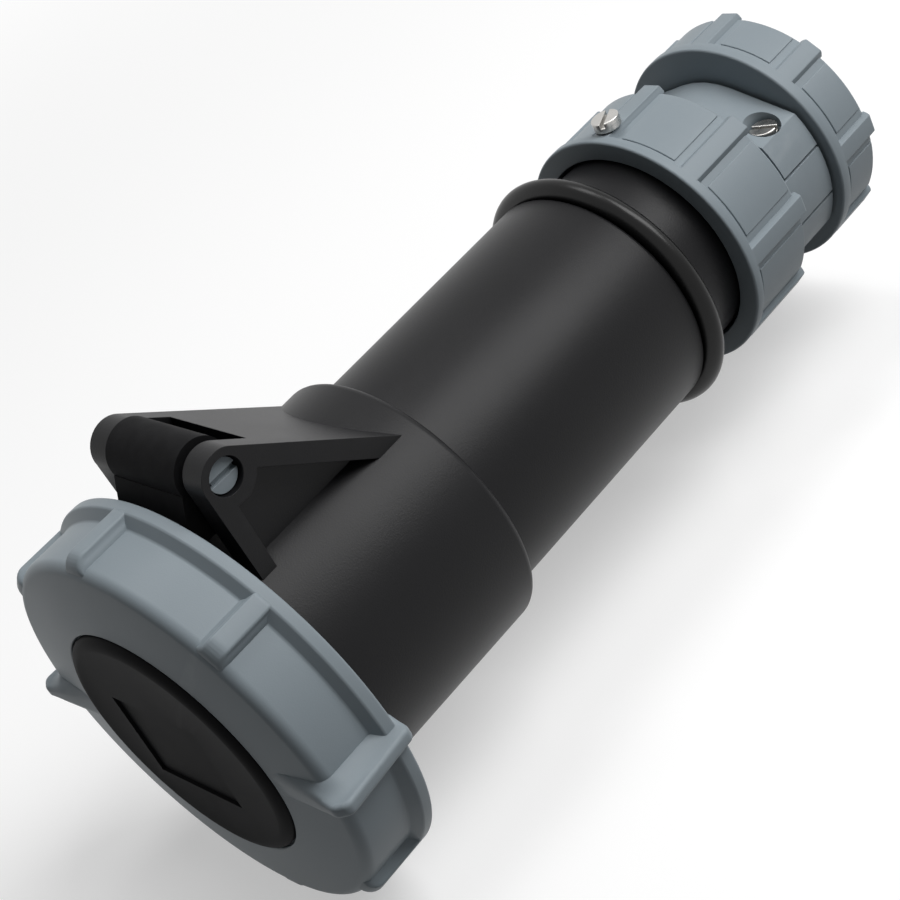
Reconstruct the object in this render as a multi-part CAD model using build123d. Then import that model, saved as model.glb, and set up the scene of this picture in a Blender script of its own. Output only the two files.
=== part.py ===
from build123d import *
from math import cos, radians, sin, sqrt
import os

os.makedirs("parts", exist_ok=True)

# Industrial power coupler: the cable-end socket of a round five-pole plug and socket system.
# It lies on its side. +X runs along the main axis from the mouth towards the cable,
# +Z points to the lid's hinge, and the origin is the centre of the mouth's rim.
# Angles about the axis are in degrees from the hinge, positive towards -Y. Lengths are in millimetres.

# Plug face: the annular space that takes the plug's shroud
insert_radius = 30.75
shroud_bore_radius = 36.2
shroud_depth = 46.0
insert_setback = 0.0
keyway_width = 9.0
keyway_depth = 1.1

# Contacts
contact_circle_radius = 18.5
contact_spacing = 72.0
line_pin_radius = 4.0
earth_pin_radius = 5.0
pilot_pin_radius = 3.0
pin_clearance = 0.05
guide_clearance = 0.4
contact_wall = 1.5
contact_play = 0.1
contact_length = 35.0
contact_setback = 5.5
contact_slit = 0.8
terminal_length = 14.0
terminal_shoulder = 0.7
terminal_wall = 2.2
terminal_gap = 0.2
wire_hole_depth = 11.0
terminal_screw_radius = 2.0
terminal_screw_proud = 0.6

# Front housing
housing_length = 73.5
housing_wall = 2.4
housing_radius = shroud_bore_radius + housing_wall
flange_height = 3.4
flange_radius = housing_radius + flange_height
flange_width = 4.6
flange_slant = 2.4
ledge_width = 4.0
ledge_height = 3.0
ledge_radius = shroud_bore_radius - ledge_height
lug_height = 4.0
lug_radius = flange_radius + lug_height
lug_width = 7.9
lug_angle = 135.0
lug_half_angle = 10.0
housing_end_round = 3.0

# Handle
thread_inset = 0.6
spigot_radius = shroud_bore_radius - thread_inset
spigot_play = 0.1
handle_step = 2.1
handle_radius = spigot_radius - handle_step
handle_wall = 3.4
handle_length = 78.0
carrier_flange_width = 4.0
carrier_seam = 0.1
gasket_width = 1.8
neck_step = 4.0
neck_tube_radius = handle_radius - neck_step
neck_tube_wall = 3.0
neck_tube_length = 44.0
bumper_section_radius = 3.6

# Bayonet ring and front disc
ring_phase = -1.0
rib_count = 8
rib_width = 5.4
rib_proud = 0.35
ring_hole_radius = 30.0
ring_play = 0.4
drum_clearance = 3.8
drum_inner_radius = lug_radius + drum_clearance
drum_wall = 2.8
drum_radius = drum_inner_radius + drum_wall
rim_height = 2.6
rim_radius = drum_radius + rim_height
rim_end_x = 12.9
rim_width = 3.3
rim_slant = 2.2
ring_wall = 2.9
ring_face_fall = 2.25
ring_corner_round = 4.8
ring_lug_clearance = 1.4
ring_lug_radius = flange_radius + ring_lug_clearance
ring_lug_width = 4.0
ring_lug_half_angle = 8.0
wing_width = 5.6
wing_height = 4.2
wing_radius = rim_radius + wing_height
disc_lap = 3.3
disc_radius = ring_hole_radius + disc_lap
disc_edge = 1.6
disc_dome = 1.3

# Hinge bracket and lid
hinge_x = 24.7
hinge_clearance = 2.6
hinge_height = rim_radius + hinge_clearance
pin_radius = 3.0
pin_head_rim = 1.1
pin_head_radius = pin_radius + pin_head_rim
pin_head_length = 3.2
pin_recess = 1.4
knuckle_wall = 3.6
knuckle_radius = pin_radius + knuckle_wall
ear_inner = 13.0
web_width = 2.5
web_outer = ear_inner + web_width
web_recess = 4.2
ear_outer = web_outer + web_recess
leg_foot_x = 20.1
leg_width = 5.0
strut_foot_x = 66.3
strut_thickness = 5.1
window_length = 11.8
running_play = 0.08
barrel_wall = 4.3
barrel_radius = pin_radius + barrel_wall
ear_play = 0.4
barrel_half_width = ear_inner - ear_play
spring_wire_radius = 0.6
spring_coil_radius = 4.5
spring_turns = 6
spring_pitch = 1.7
spring_leg = 6.8
spring_play = 0.4
lid_edge_clearance = 3.4
lid_radius = drum_inner_radius - lid_edge_clearance
lid_thickness = 3.1
gasket_land = 1.0
gasket_inner = shroud_bore_radius + gasket_land
gasket_outer = flange_radius - 0.2
gasket_seat = 1.2
lid_standoff = 3.0
arm_clearance = 1.3
arm_bottom = flange_radius + arm_clearance
arm_thickness = 4.1
arm_top = arm_bottom + arm_thickness
hub_radius = ring_hole_radius - ring_play
hub_length = 1.8

# Cable gland
cable_radius = 13.0
seal_wall = 8.1
thread_wall = 2.6
thread_radius = cable_radius + seal_wall + thread_wall + 0.3
thread_play = 0.1
collar_gap = 20.5
collar_length = 26.5
collar_play = 0.9
collar_bore_radius = neck_tube_radius + collar_play
collar_wall = 4.3
collar_panel_radius = collar_bore_radius + collar_wall
collar_rib_height = 1.3
collar_radius = collar_panel_radius + collar_rib_height
collar_end_wall = 2.6
collar_rim_width = 3.0
gland_rib_width = 5.3
cable_bore_radius = 17.8
core_wall = 2.6
core_radius = cable_bore_radius + core_wall
saddle_thickness = 4.9
neck_radius = core_radius + saddle_thickness
neck_length = 2.4
clamp_length = 15.8
boss_height = 6.7
boss_radius = neck_radius + boss_height
boss_corner_angle = 57.7
boss_flat_angle = 37.6
clamp_seam_height = 7.0
clamp_screw_inset = 9.7
clamp_screw_y = boss_radius - clamp_screw_inset
clamp_screw_height = 15.0
saddle_play = 0.15
nut_gap = 1.2
nut_length = 18.4
nut_wall = 9.2
nut_panel_radius = thread_radius + nut_wall
nut_rib_height = 1.5
nut_radius = nut_panel_radius + nut_rib_height
nut_rim_width = 4.2
nut_rib_overhang = 1.5
nut_hole_radius = 17.0
nut_end_wall = 2.4
seal_length = 12.5
seal_round = 1.0
washer_thickness = 1.6
washer_play = 0.1

# Small fasteners
m4_radius = 1.95
m4_head_radius = 3.8
m4_head_height = 3.0
m4_slot_width = 1.1
m4_slot_depth = 1.3
screw_play = 0.05
head_play = 0.8
disc_screw_circle = 21.0
disc_screw_head_height = 1.9
disc_screw_length = 4.3
locking_screw_setback = 8.2
locking_screw_proud = 0.3

# Places along the axis that follow from the sizes above
step_x = housing_length
ledge_end_x = shroud_depth + ledge_width
carrier_end_x = ledge_end_x + carrier_flange_width
spigot_x = carrier_end_x + gasket_width + 2 * spigot_play
shoulder_x = step_x + handle_length
tube_end_x = shoulder_x + neck_tube_length
collar_x = shoulder_x + collar_gap
collar_end_x = collar_x + collar_length
clamp_x = collar_end_x + neck_length
clamp_end_x = clamp_x + clamp_length
nut_x = clamp_end_x + nut_gap
nut_end_x = nut_x + nut_length
lid_x = -lid_standoff - lid_thickness
ring_back_x = lid_x - ring_play / 2
ring_front_x = ring_back_x - ring_wall
seal_x = nut_x + nut_gap
washer_x = seal_x + seal_length + washer_play
spout_end_x = washer_x - washer_play


def turned(*points, rounds=()):
    """A body of revolution about the main axis from (x, radius) corners, some of them rounded."""
    outline = make_face(Polyline(*[(x, 0, r) for x, r in points], close=True))
    for index, radius in rounds:
        corner = Vector(points[index][0], 0, points[index][1])
        outline = fillet(outline.vertices().sort_by(lambda v: (v.center() - corner).length)[0], radius)
    return revolve(outline, Axis.X, 360)


def tube(x0, x1, outer, inner=0.0):
    """A tube or rod along the main axis."""
    middle = Pos((x0 + x1) / 2, 0, 0) * Rot(Y=90)
    body = middle * Cylinder(outer, x1 - x0)
    if inner > 0:
        body -= middle * Cylinder(inner, x1 - x0 + 2)
    return body


def block(x0, x1, y0, y1, z0, z1):
    """A box between two corners."""
    return Pos((x0 + x1) / 2, (y0 + y1) / 2, (z0 + z1) / 2) * Box(x1 - x0, y1 - y0, z1 - z0)


def turned_to(angle, shape):
    """A shape carried round the main axis by an angle from the hinge."""
    return Rot(X=angle) * shape


def sector(x0, x1, outer, inner, angle, half_angle):
    """A piece of tube that spans half_angle each side of an angle."""
    reach = outer / cos(radians(half_angle)) + 1
    side = reach * sin(radians(half_angle))
    depth = reach * cos(radians(half_angle))
    wedge = make_face(Polyline((x0, 0, 0), (x0, -side, depth), (x0, side, depth), close=True))
    piece = tube(x0, x1, outer, inner) & extrude(wedge, x1 - x0, dir=(1, 0, 0))
    return turned_to(angle, piece)


def side_plate(y0, y1, *points, rounds=()):
    """A plate across Y from (x, z) corners, some of them rounded."""
    outline = make_face(Polyline(*[(x, y0, z) for x, z in points], close=True))
    for index, radius in rounds:
        corner = Vector(points[index][0], y0, points[index][1])
        outline = fillet(outline.vertices().sort_by(lambda v: (v.center() - corner).length)[0], radius)
    return extrude(outline, y1 - y0, dir=(0, 1, 0))


def cross_rod(y0, y1, x, z, radius):
    """A rod across Y."""
    return Pos(x, (y0 + y1) / 2, z) * Rot(X=90) * Cylinder(radius, y1 - y0)


def slotted_screw(head_height, length):
    """A cheese-head screw along -Z with the underside of its head at the origin."""
    head = Pos(0, 0, head_height / 2) * Cylinder(m4_head_radius, head_height)
    head = fillet(head.edges().sort_by(Axis.Z)[-1], m4_slot_width / 2)
    head -= Pos(0, 0, head_height) * Box(3 * m4_head_radius, m4_slot_width, 2 * m4_slot_depth)
    return head + Pos(0, 0, -length / 2) * Cylinder(m4_radius, length)


# Contact places: five on a circle and the pilot in the middle, the earth below
def contact_place(index):
    """The (y, z) of contact number index on the circle, 0 being the earth at the bottom."""
    angle = radians(180 + index * contact_spacing)
    return -contact_circle_radius * sin(angle), contact_circle_radius * cos(angle)


def contact_sizes(pin_radius_here):
    """The bore, sleeve and terminal radii that go with a pin."""
    bore = pin_radius_here + pin_clearance
    sleeve = bore + contact_wall
    return bore, sleeve, sleeve + terminal_shoulder


def contact(pin_radius_here, y, z):
    """A sleeve that grips the plug's pin, with its wire terminal behind the carrier."""
    bore, sleeve, terminal = contact_sizes(pin_radius_here)
    mouth_x = insert_setback + contact_setback
    terminal_x = carrier_end_x + terminal_gap
    back_x = terminal_x + terminal_length
    body = tube(mouth_x, terminal_x + terminal_gap, sleeve)
    body += tube(terminal_x, back_x, terminal)
    body -= tube(mouth_x - 1, mouth_x + contact_length, bore)
    body -= tube(back_x - wire_hole_depth, back_x + 1, terminal - terminal_wall)
    slit_end = mouth_x + contact_length * 0.6
    body -= block(mouth_x - 1, slit_end, -contact_slit / 2, contact_slit / 2, -2 * sleeve, 2 * sleeve)
    screw_x = back_x - wire_hole_depth / 2
    body -= Pos(screw_x, 0, terminal) * Cylinder(terminal_screw_radius + screw_play, 2 * terminal)
    return Pos(0, y, z) * body


def terminal_screw(pin_radius_here, y, z):
    """The slotted screw that holds a wire in its terminal, seen at the terminal's top."""
    terminal = contact_sizes(pin_radius_here)[2]
    screw_x = carrier_end_x + terminal_gap + terminal_length - wire_hole_depth / 2
    height = terminal_wall + 3 * terminal_screw_proud
    body = Pos(0, 0, -height / 2) * Cylinder(terminal_screw_radius, height)
    body -= Box(3 * terminal_screw_radius, contact_slit, 2 * contact_slit)
    return Pos(screw_x, y, z + terminal + terminal_screw_proud) * body


def carrier():
    """The insert in five segments that close round the contacts, with a flange behind the plug's space."""
    flange = spigot_radius - spigot_play
    flange_x = ledge_end_x + spigot_play
    body = turned((insert_setback, 0), (insert_setback, insert_radius), (flange_x, insert_radius),
                  (flange_x, flange), (carrier_end_x, flange), (carrier_end_x, 0))
    for y, z, pin in contact_list():
        bore, sleeve, terminal = contact_sizes(pin)
        mouth_x = insert_setback + contact_setback
        body -= Pos(0, y, z) * tube(insert_setback - 1, mouth_x, bore + guide_clearance)
        body -= Pos(0, y, z) * tube(mouth_x - contact_play, carrier_end_x + 1, sleeve + contact_play)
    for index in range(5):
        half = carrier_seam / 2
        seam = block(insert_setback - 1, carrier_end_x + 1, -half, half, 0, 2 * flange)
        body -= turned_to(180 + index * contact_spacing, seam)
    return body.solids()


def contact_list():
    """Each contact's (y, z) place and its pin's radius: earth, three lines, neutral, pilot."""
    places = [(*contact_place(0), earth_pin_radius)]
    places += [(*contact_place(index), line_pin_radius) for index in range(1, 5)]
    return places + [(0.0, 0.0, pilot_pin_radius)]


# Front housing with its hinge bracket
def bracket_slope(x):
    """The height of the bracket's sloping top at x, from the knuckle down to the housing."""
    foot_z = sqrt(housing_radius ** 2 - ear_outer ** 2)
    top_x = hinge_x + knuckle_radius * 0.62
    top_z = hinge_height + knuckle_radius * 0.785
    return top_z + (foot_z - top_z) * (x - top_x) / (strut_foot_x - top_x)


def bracket():
    """Two ears with recessed webs and the sloping plate between them."""
    long_x = step_x
    foot = min(bracket_slope(long_x), housing_radius) - 2 * strut_thickness
    slope = (bracket_slope(hinge_x) - bracket_slope(strut_foot_x)) / (strut_foot_x - hinge_x)
    drop = strut_thickness * sqrt(1 + slope ** 2)
    top_x = hinge_x + knuckle_radius * 0.62
    front_x = hinge_x - knuckle_radius
    outline = [(front_x, hinge_height - 1), (leg_foot_x, foot), (long_x, foot),
               (long_x, bracket_slope(long_x)), (top_x, bracket_slope(top_x)), (hinge_x, hinge_height)]
    inner_x = leg_foot_x + leg_width * 0.92
    bottom = foot - strut_thickness
    corner_x = hinge_x + knuckle_radius * 1.21
    hollow = [(inner_x, bottom), (inner_x - leg_width * 0.24, hinge_height - knuckle_radius * 1.15),
              (corner_x, bracket_slope(corner_x) - drop), (long_x + 1, bracket_slope(long_x + 1) - drop),
              (long_x + 1, bottom)]
    body = side_plate(-ear_outer, ear_outer, *outline)
    body += cross_rod(-ear_outer, ear_outer, hinge_x, hinge_height, knuckle_radius)
    body -= side_plate(-ear_inner, ear_inner, *hollow)
    for side in (-1, 1):
        low, high = sorted((side * web_outer, side * 2 * ear_outer))
        web = side_plate(low, high, *hollow)
        body -= web - cross_rod(low, high, hinge_x, hinge_height, knuckle_radius + pin_head_rim / 3)
    body -= block(front_x - knuckle_radius, hinge_x + window_length, -ear_inner, ear_inner,
                  bottom, hinge_height + 2 * knuckle_radius)
    return body


def front_housing():
    """The socket's front shell: mouth flange with lugs, shroud bore, bracket and threaded rear."""
    front_radius = housing_radius - housing_wall / 6
    lug_root = housing_radius - housing_wall / 2
    body = turned((0, 0), (0, flange_radius), (flange_width, flange_radius),
                  (flange_width + flange_slant, front_radius), (step_x, housing_radius), (step_x, 0),
                  rounds=[(1, flange_width / 6), (4, housing_end_round)])
    body += bracket()
    for side in (0, 180):
        body += sector(0, lug_width, lug_radius, lug_root, lug_angle + side, lug_half_angle)
    body -= tube(-1, shroud_depth, shroud_bore_radius)
    body -= tube(shroud_depth - 1, ledge_end_x + 1, ledge_radius)
    body -= tube(ledge_end_x, 2 * step_x, spigot_radius + spigot_play)
    body -= block(-1, shroud_depth, -keyway_width / 2, keyway_width / 2,
                  -shroud_bore_radius - keyway_depth, -insert_radius)
    body -= cross_rod(-2 * ear_outer, 2 * ear_outer, hinge_x, hinge_height, pin_radius + screw_play / 2)
    head_seat_y = -ear_outer + pin_recess + pin_head_length + spigot_play
    body -= cross_rod(-2 * ear_outer, head_seat_y, hinge_x, hinge_height, pin_head_radius + pin_head_rim / 3)
    return body


def hinge_pin():
    """The lid's hinge pin with a slotted head in the near ear."""
    head_y = -ear_outer + pin_recess
    body = cross_rod(head_y, ear_outer - pin_recess, hinge_x, hinge_height, pin_radius)
    body += cross_rod(head_y, head_y + pin_head_length, hinge_x, hinge_height, pin_head_radius)
    body -= block(hinge_x - 2 * pin_radius, hinge_x + 2 * pin_radius, head_y - 1, head_y + m4_slot_width,
                  hinge_height - m4_slot_width / 2, hinge_height + m4_slot_width / 2)
    return body


# Lid, gasket, spring, disc and ring
def lid():
    """The hinged lid: a plate inside the ring, a hub for the ring, and an arm to the hinge barrel."""
    back_x = -lid_standoff
    root_x = back_x - lid_thickness / 5
    knee_x = rim_end_x + 2 * ring_play
    body = tube(lid_x, back_x, lid_radius) + tube(lid_x - hub_length, lid_x + lid_thickness / 3, hub_radius)
    arm = [(root_x, arm_bottom), (root_x, arm_top), (knee_x, arm_top),
           (hinge_x - barrel_radius, hinge_height - barrel_radius / 4), (hinge_x, hinge_height),
           (hinge_x + barrel_radius * 0.49, hinge_height - barrel_radius * 0.85),
           (hinge_x - barrel_radius * 0.41, arm_bottom)]
    space = tube(lid_x, knee_x, drum_inner_radius - ring_play)
    space += block(rim_end_x, hinge_x + 2 * barrel_radius, -2 * barrel_half_width, 2 * barrel_half_width,
                   flange_radius / 2, hinge_height + 2 * barrel_radius)
    body += side_plate(-barrel_half_width, barrel_half_width, *arm) & space
    body += cross_rod(-barrel_half_width, barrel_half_width, hinge_x, hinge_height, barrel_radius)
    wide = 2 * barrel_half_width
    body -= cross_rod(-wide, wide, hinge_x, hinge_height, pin_radius + running_play)
    half = spring_space()
    coil_space = spring_coil_radius + spring_wire_radius + spring_play
    body -= cross_rod(-half, half, hinge_x, hinge_height, coil_space)
    body -= block(hinge_x, hinge_x + 2 * barrel_radius, -half, half,
                  hinge_height - 2 * barrel_radius, hinge_height)
    body -= tube(back_x - gasket_seat, back_x + 1, gasket_outer + contact_play, gasket_inner - contact_play)
    for y, z in disc_screw_places():
        body -= Pos(0, y, z) * tube(lid_x - 2 * hub_length, back_x + 1, m4_radius + screw_play)
        body -= Pos(0, y, z) * tube(back_x - disc_screw_seat(), back_x + 1, m4_head_radius + 2 * screw_play)
    return body


def spring_space():
    """Half the width of the pocket that the lid's spring sits in."""
    return spring_turns * spring_pitch / 2 + spring_wire_radius + 2 * spring_play


def disc_screw_seat():
    """How deep the disc's screws sit in the lid."""
    return disc_screw_head_height + spring_play / 2


def disc_screw_places():
    """The (y, z) of the three screws that hold the front disc."""
    angles = [radians(angle) for angle in (60, 180, 300)]
    return [(disc_screw_circle * sin(angle), disc_screw_circle * cos(angle)) for angle in angles]


def disc_screws():
    """Three screws from inside the lid into the front disc."""
    screw = slotted_screw(disc_screw_head_height, disc_screw_length)
    under_head = -lid_standoff - disc_screw_seat() + screw_play
    return [Pos(under_head, y, z) * Rot(Y=90) * screw for y, z in disc_screw_places()]


def lid_gasket():
    """The flat rubber ring that seals the lid against the mouth."""
    return tube(-lid_standoff - gasket_seat, 0, gasket_outer, gasket_inner)


def lid_spring():
    """The torsion spring that closes the lid: a coil round the pin with a leg at each end."""
    length = spring_turns * spring_pitch
    coil = Helix(spring_pitch, length, spring_coil_radius)
    wire = sweep(Plane(coil @ 0, z_dir=coil % 0) * Circle(spring_wire_radius), path=coil, is_frenet=True)
    leg = Pos(spring_coil_radius, -spring_leg / 2, 0) * Rot(X=90) * Cylinder(spring_wire_radius, spring_leg)
    wire += leg
    wire += Pos(0, 0, length) * leg
    return Pos(hinge_x, length / 2, hinge_height) * Rot(X=90) * wire


def front_disc():
    """The round cap in the middle of the lid that keeps the ring on its hub."""
    back_x = lid_x - hub_length
    edge_x = back_x - disc_edge
    front_x = edge_x - disc_dome
    shoulder = disc_radius - disc_edge * 0.87
    dome_radius = disc_radius ** 2 / (1.4 * disc_dome)
    body = turned((back_x, 0), (back_x, disc_radius), (edge_x, disc_radius),
                  (edge_x - disc_dome * 0.54, shoulder), (front_x - disc_dome, shoulder),
                  (front_x - disc_dome, 0))
    body &= Pos(front_x + dome_radius, 0, 0) * Sphere(dome_radius)
    for y, z in disc_screw_places():
        body -= Pos(0, y, z) * tube(back_x - disc_edge * 1.15, back_x + 1, m4_radius + screw_play)
    return body


def bayonet_ring():
    """The ring that locks the lid: a shallow drum with ribs, two wings and two inner lugs."""
    rim_start = rim_end_x - rim_width
    seat_x = lid_x - hub_length + ring_play / 4
    corner_x = ring_front_x + ring_face_fall
    seat_radius = disc_radius + ring_play
    body = turned((ring_front_x, seat_radius), (corner_x, drum_radius), (rim_start - rim_slant, drum_radius),
                  (rim_start, rim_radius), (rim_end_x, rim_radius), (rim_end_x, drum_inner_radius),
                  (ring_back_x, drum_inner_radius), (ring_back_x, ring_hole_radius),
                  (seat_x, ring_hole_radius), (seat_x, seat_radius),
                  rounds=[(1, ring_corner_round), (4, rim_height * 0.3),
                          (6, ring_corner_round - drum_wall * 0.7)])
    skin = drum_inner_radius + drum_wall * 0.2
    rib_x = corner_x + ring_play
    rib_end = rim_end_x - rim_width * 0.06
    rib_top = rim_radius + rib_proud
    rib_reach = sqrt(rib_top ** 2 + rib_width ** 2)
    envelope = turned((rib_x, skin), (rib_x, rib_reach), (rib_end, rib_reach), (rib_end, skin),
                      rounds=[(1, ring_corner_round * 0.62)])
    for index in range(rib_count):
        angle = ring_phase + index * 360 / rib_count
        if index % (rib_count // 2) == rib_count // 4:
            body += turned_to(angle, wing(seat_radius, skin))
            lug_end = rim_end_x - ring_play
            body += sector(lug_end - ring_lug_width, lug_end, skin, ring_lug_radius, angle,
                           ring_lug_half_angle)
        else:
            slab = block(2 * ring_front_x, 2 * rim_end_x, -rib_width / 2, rib_width / 2,
                         disc_radius, rib_top)
            body += turned_to(angle, envelope & slab)
    return body


def wing(inner, skin):
    """A finger grip that starts at the disc and runs over the drum to just behind the rim."""
    back = rim_end_x + rim_width * 0.42
    depth = ring_front_x + ring_wall / 2
    outline = [(ring_front_x + ring_play, inner + ring_play),
               (ring_front_x - ring_play * 2.75, wing_radius - wing_height * 0.74),
               (ring_front_x + ring_play * 2, wing_radius), (back, wing_radius - wing_height * 0.4),
               (back, skin + ring_play * 2.5), (rim_end_x - ring_play, skin),
               (ring_front_x + ring_wall * 1.45, skin), (depth, drum_inner_radius - drum_wall),
               (depth, inner + ring_play)]
    return side_plate(-wing_width / 2, wing_width / 2, *outline,
                      rounds=[(1, ring_play * 3), (2, ring_play * 3), (3, ring_play * 2)])


# Handle and its seals
def handle():
    """The long grip tube: threaded spigot in front, reduced tube for the gland behind."""
    bore = handle_radius - handle_wall
    tube_bore = neck_tube_radius - neck_tube_wall
    face_x = step_x - spigot_play
    return turned((spigot_x, bore), (spigot_x, spigot_radius), (face_x, spigot_radius),
                  (face_x, handle_radius), (shoulder_x, handle_radius), (shoulder_x, neck_tube_radius),
                  (tube_end_x, neck_tube_radius), (tube_end_x, tube_bore),
                  (shoulder_x + handle_wall, tube_bore), (shoulder_x - handle_wall, bore),
                  rounds=[(4, handle_wall / 3), (6, neck_tube_wall / 3)])


def carrier_gasket():
    """The flat ring between the carrier's flange and the handle."""
    outer = spigot_radius - 2 * spigot_play
    return tube(carrier_end_x + spigot_play, spigot_x - spigot_play, outer, outer - handle_wall)


def bumper_ring():
    """The rubber ring that sits behind the handle's shoulder."""
    centre = (shoulder_x + bumper_section_radius + spigot_play, 0,
              neck_tube_radius + bumper_section_radius + spigot_play / 2)
    section = Plane(origin=centre, z_dir=(0, -1, 0)) * Circle(bumper_section_radius)
    return revolve(section, Axis.X, 360)


# Cable gland
def ribbed_drum(x0, x1, radius, panel_radius, rim_width, rib_overhang):
    """A drum with a plain front rim and eight ribs, as on the gland's collar and nut."""
    panel_end = x1 - rib_overhang
    rise = radius - panel_radius
    round_radius = rise * 0.45
    body = turned((x0, 0), (x0, radius), (x1, radius), (x1, 0), rounds=[(1, round_radius), (2, round_radius)])
    hollow = turned((x0 + rim_width, radius + rise), (x0 + rim_width, radius - rise / 6),
                    (x0 + rim_width + rise * 0.6, panel_radius), (panel_end - rise, panel_radius),
                    (panel_end, panel_radius - rise), (2 * x1, panel_radius - rise), (2 * x1, radius + rise))
    for index in range(rib_count):
        rib = block(x0, 3 * x1, -gland_rib_width / 2, gland_rib_width / 2,
                    panel_radius - 2 * rise, 2 * radius)
        hollow -= turned_to(ring_phase + index * 360 / rib_count, rib)
    body -= hollow
    return body - tube(panel_end, 2 * x1, panel_radius - rise * 0.6)


def clamp_section(x0, x1):
    """The neck's clamp outline: a round top and bottom, slanting flats and a round boss at each side."""
    corner_y = boss_radius * sin(radians(boss_corner_angle))
    corner_z = boss_radius * cos(radians(boss_corner_angle))
    touch_y = neck_radius * sin(radians(boss_corner_angle - boss_flat_angle))
    touch_z = neck_radius * cos(radians(boss_corner_angle - boss_flat_angle))
    band = make_face(Polyline((x0, -corner_y, -corner_z), (x0, -touch_y, -touch_z), (x0, touch_y, -touch_z),
                              (x0, corner_y, -corner_z), (x0, 2 * boss_radius, 0), (x0, corner_y, corner_z),
                              (x0, touch_y, touch_z), (x0, -touch_y, touch_z), (x0, -corner_y, corner_z),
                              (x0, -2 * boss_radius, 0), close=True))
    band = extrude(band, x1 - x0, dir=(1, 0, 0)) & tube(x0, x1, boss_radius)
    return tube(x0, x1, neck_radius) + band


def gland_body():
    """The collar over the handle's tube, the clamp's fixed bosses and the threaded spout for the nut."""
    body = ribbed_drum(collar_x, collar_end_x, collar_radius, collar_panel_radius, collar_rim_width,
                       collar_end_wall * 0.4)
    root_x = collar_end_x - collar_end_wall * 0.8
    body += tube(root_x, clamp_x - spigot_play, neck_radius)
    body += tube(root_x, nut_x + nut_gap, core_radius)
    middle = clamp_section(clamp_x - neck_length / 2, clamp_end_x)
    body += middle & block(clamp_x - neck_length, clamp_end_x, -2 * boss_radius, 2 * boss_radius,
                           -clamp_seam_height, clamp_seam_height)
    body += tube(nut_x - nut_gap / 3, spout_end_x, thread_radius)
    body -= tube(collar_x - 1, collar_end_x - collar_end_wall, collar_bore_radius)
    body -= tube(collar_x, nut_end_x, cable_bore_radius)
    body -= tube(seal_x - washer_play, nut_end_x, thread_radius - thread_wall)
    body -= block(clamp_x - saddle_play, clamp_end_x + saddle_play, -window_half(), window_half(),
                  -2 * neck_radius, 2 * neck_radius)
    for x, y in clamp_screw_places():
        body -= Pos(x, y, 0) * Cylinder(m4_radius + screw_play, 3 * clamp_seam_height)
    screw_hole = Pos(locking_screw_x(), 0, collar_radius) * Cylinder(m4_radius + screw_play, 3 * collar_wall)
    body -= turned_to(ring_phase, screw_hole)
    return body


def window_half():
    """Half the width of the openings through which the saddles press on the cable."""
    return cable_bore_radius * 0.75


def clamp_screw_places():
    """The (x, y) of the two screws of a saddle."""
    middle = (clamp_x + clamp_end_x) / 2
    return [(middle, -clamp_screw_y), (middle, clamp_screw_y)]


def locking_screw_x():
    """Where the collar's locking screw stands."""
    return collar_x + locking_screw_setback


def clamp_saddle():
    """The upper cable clamp: a bridge over the neck with two screw seats and a pad for the cable."""
    x0, x1 = clamp_x + saddle_play, clamp_end_x
    seam = clamp_seam_height + saddle_play
    wide, high = 2 * boss_radius, 2 * neck_radius
    body = clamp_section(x0, x1) & block(x0, x1, -wide, wide, seam, high)
    body -= tube(x0 - 1, x1 + 1, core_radius + saddle_play)
    pad_half = window_half() - saddle_play
    pad = tube(x0 + saddle_play, x1 - saddle_play, (core_radius + neck_radius) / 2)
    pad &= block(x0, x1, -pad_half, pad_half, seam, high)
    body += pad - tube(x0 - 1, x1 + 1, cable_bore_radius)
    for x, y in clamp_screw_places():
        seat = Cylinder(m4_head_radius + head_play, 2 * neck_radius)
        body -= Pos(x, y, clamp_screw_height + neck_radius) * seat
        body -= Pos(x, y, 0) * Cylinder(m4_radius + screw_play, 3 * neck_radius)
    return body


def clamp_screws():
    """The two screws of the upper saddle."""
    screw = slotted_screw(m4_head_height, clamp_screw_height - spigot_play)
    seat = clamp_screw_height + screw_play / 2
    return [Pos(x, y, seat) * Rot(Z=35) * screw for x, y in clamp_screw_places()]


def locking_screw():
    """The screw that stops the gland from turning on the handle, standing out of the collar."""
    seat = collar_radius + locking_screw_proud
    screw = slotted_screw(m4_head_height, seat - neck_tube_radius - collar_play / 2)
    return turned_to(ring_phase, Pos(locking_screw_x(), 0, seat) * Rot(Z=25) * screw)


def gland_seal():
    """The rubber sleeve that the nut squeezes on to the cable."""
    outer = cable_radius + seal_wall
    return turned((seal_x, cable_radius), (seal_x, outer), (seal_x + seal_length, outer),
                  (seal_x + seal_length, cable_radius), rounds=[(0, seal_round), (3, seal_round)])


def thrust_washer():
    """The smooth washer between the nut and the rubber sleeve."""
    return tube(washer_x, washer_x + washer_thickness, cable_radius + seal_wall, cable_radius + seal_wall / 5)


def gland_nut():
    """The ribbed nut on the gland's end."""
    body = ribbed_drum(nut_x, nut_end_x, nut_radius, nut_panel_radius, nut_rim_width, nut_rib_overhang)
    body -= tube(nut_x - 1, washer_x + washer_thickness + washer_play, thread_radius + thread_play)
    body -= tube(nut_x, 2 * nut_end_x, nut_hole_radius)
    return body


def below(shapes):
    """The same pieces on the lower side of the axis."""
    return [Rot(X=180) * piece for piece in shapes]


def write(name, *shapes):
    """Writes one sub-part."""
    piece = shapes[0] if len(shapes) == 1 else Compound(children=list(shapes))
    piece.label = name
    export_step(piece, f"parts/{name}.step")


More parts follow.
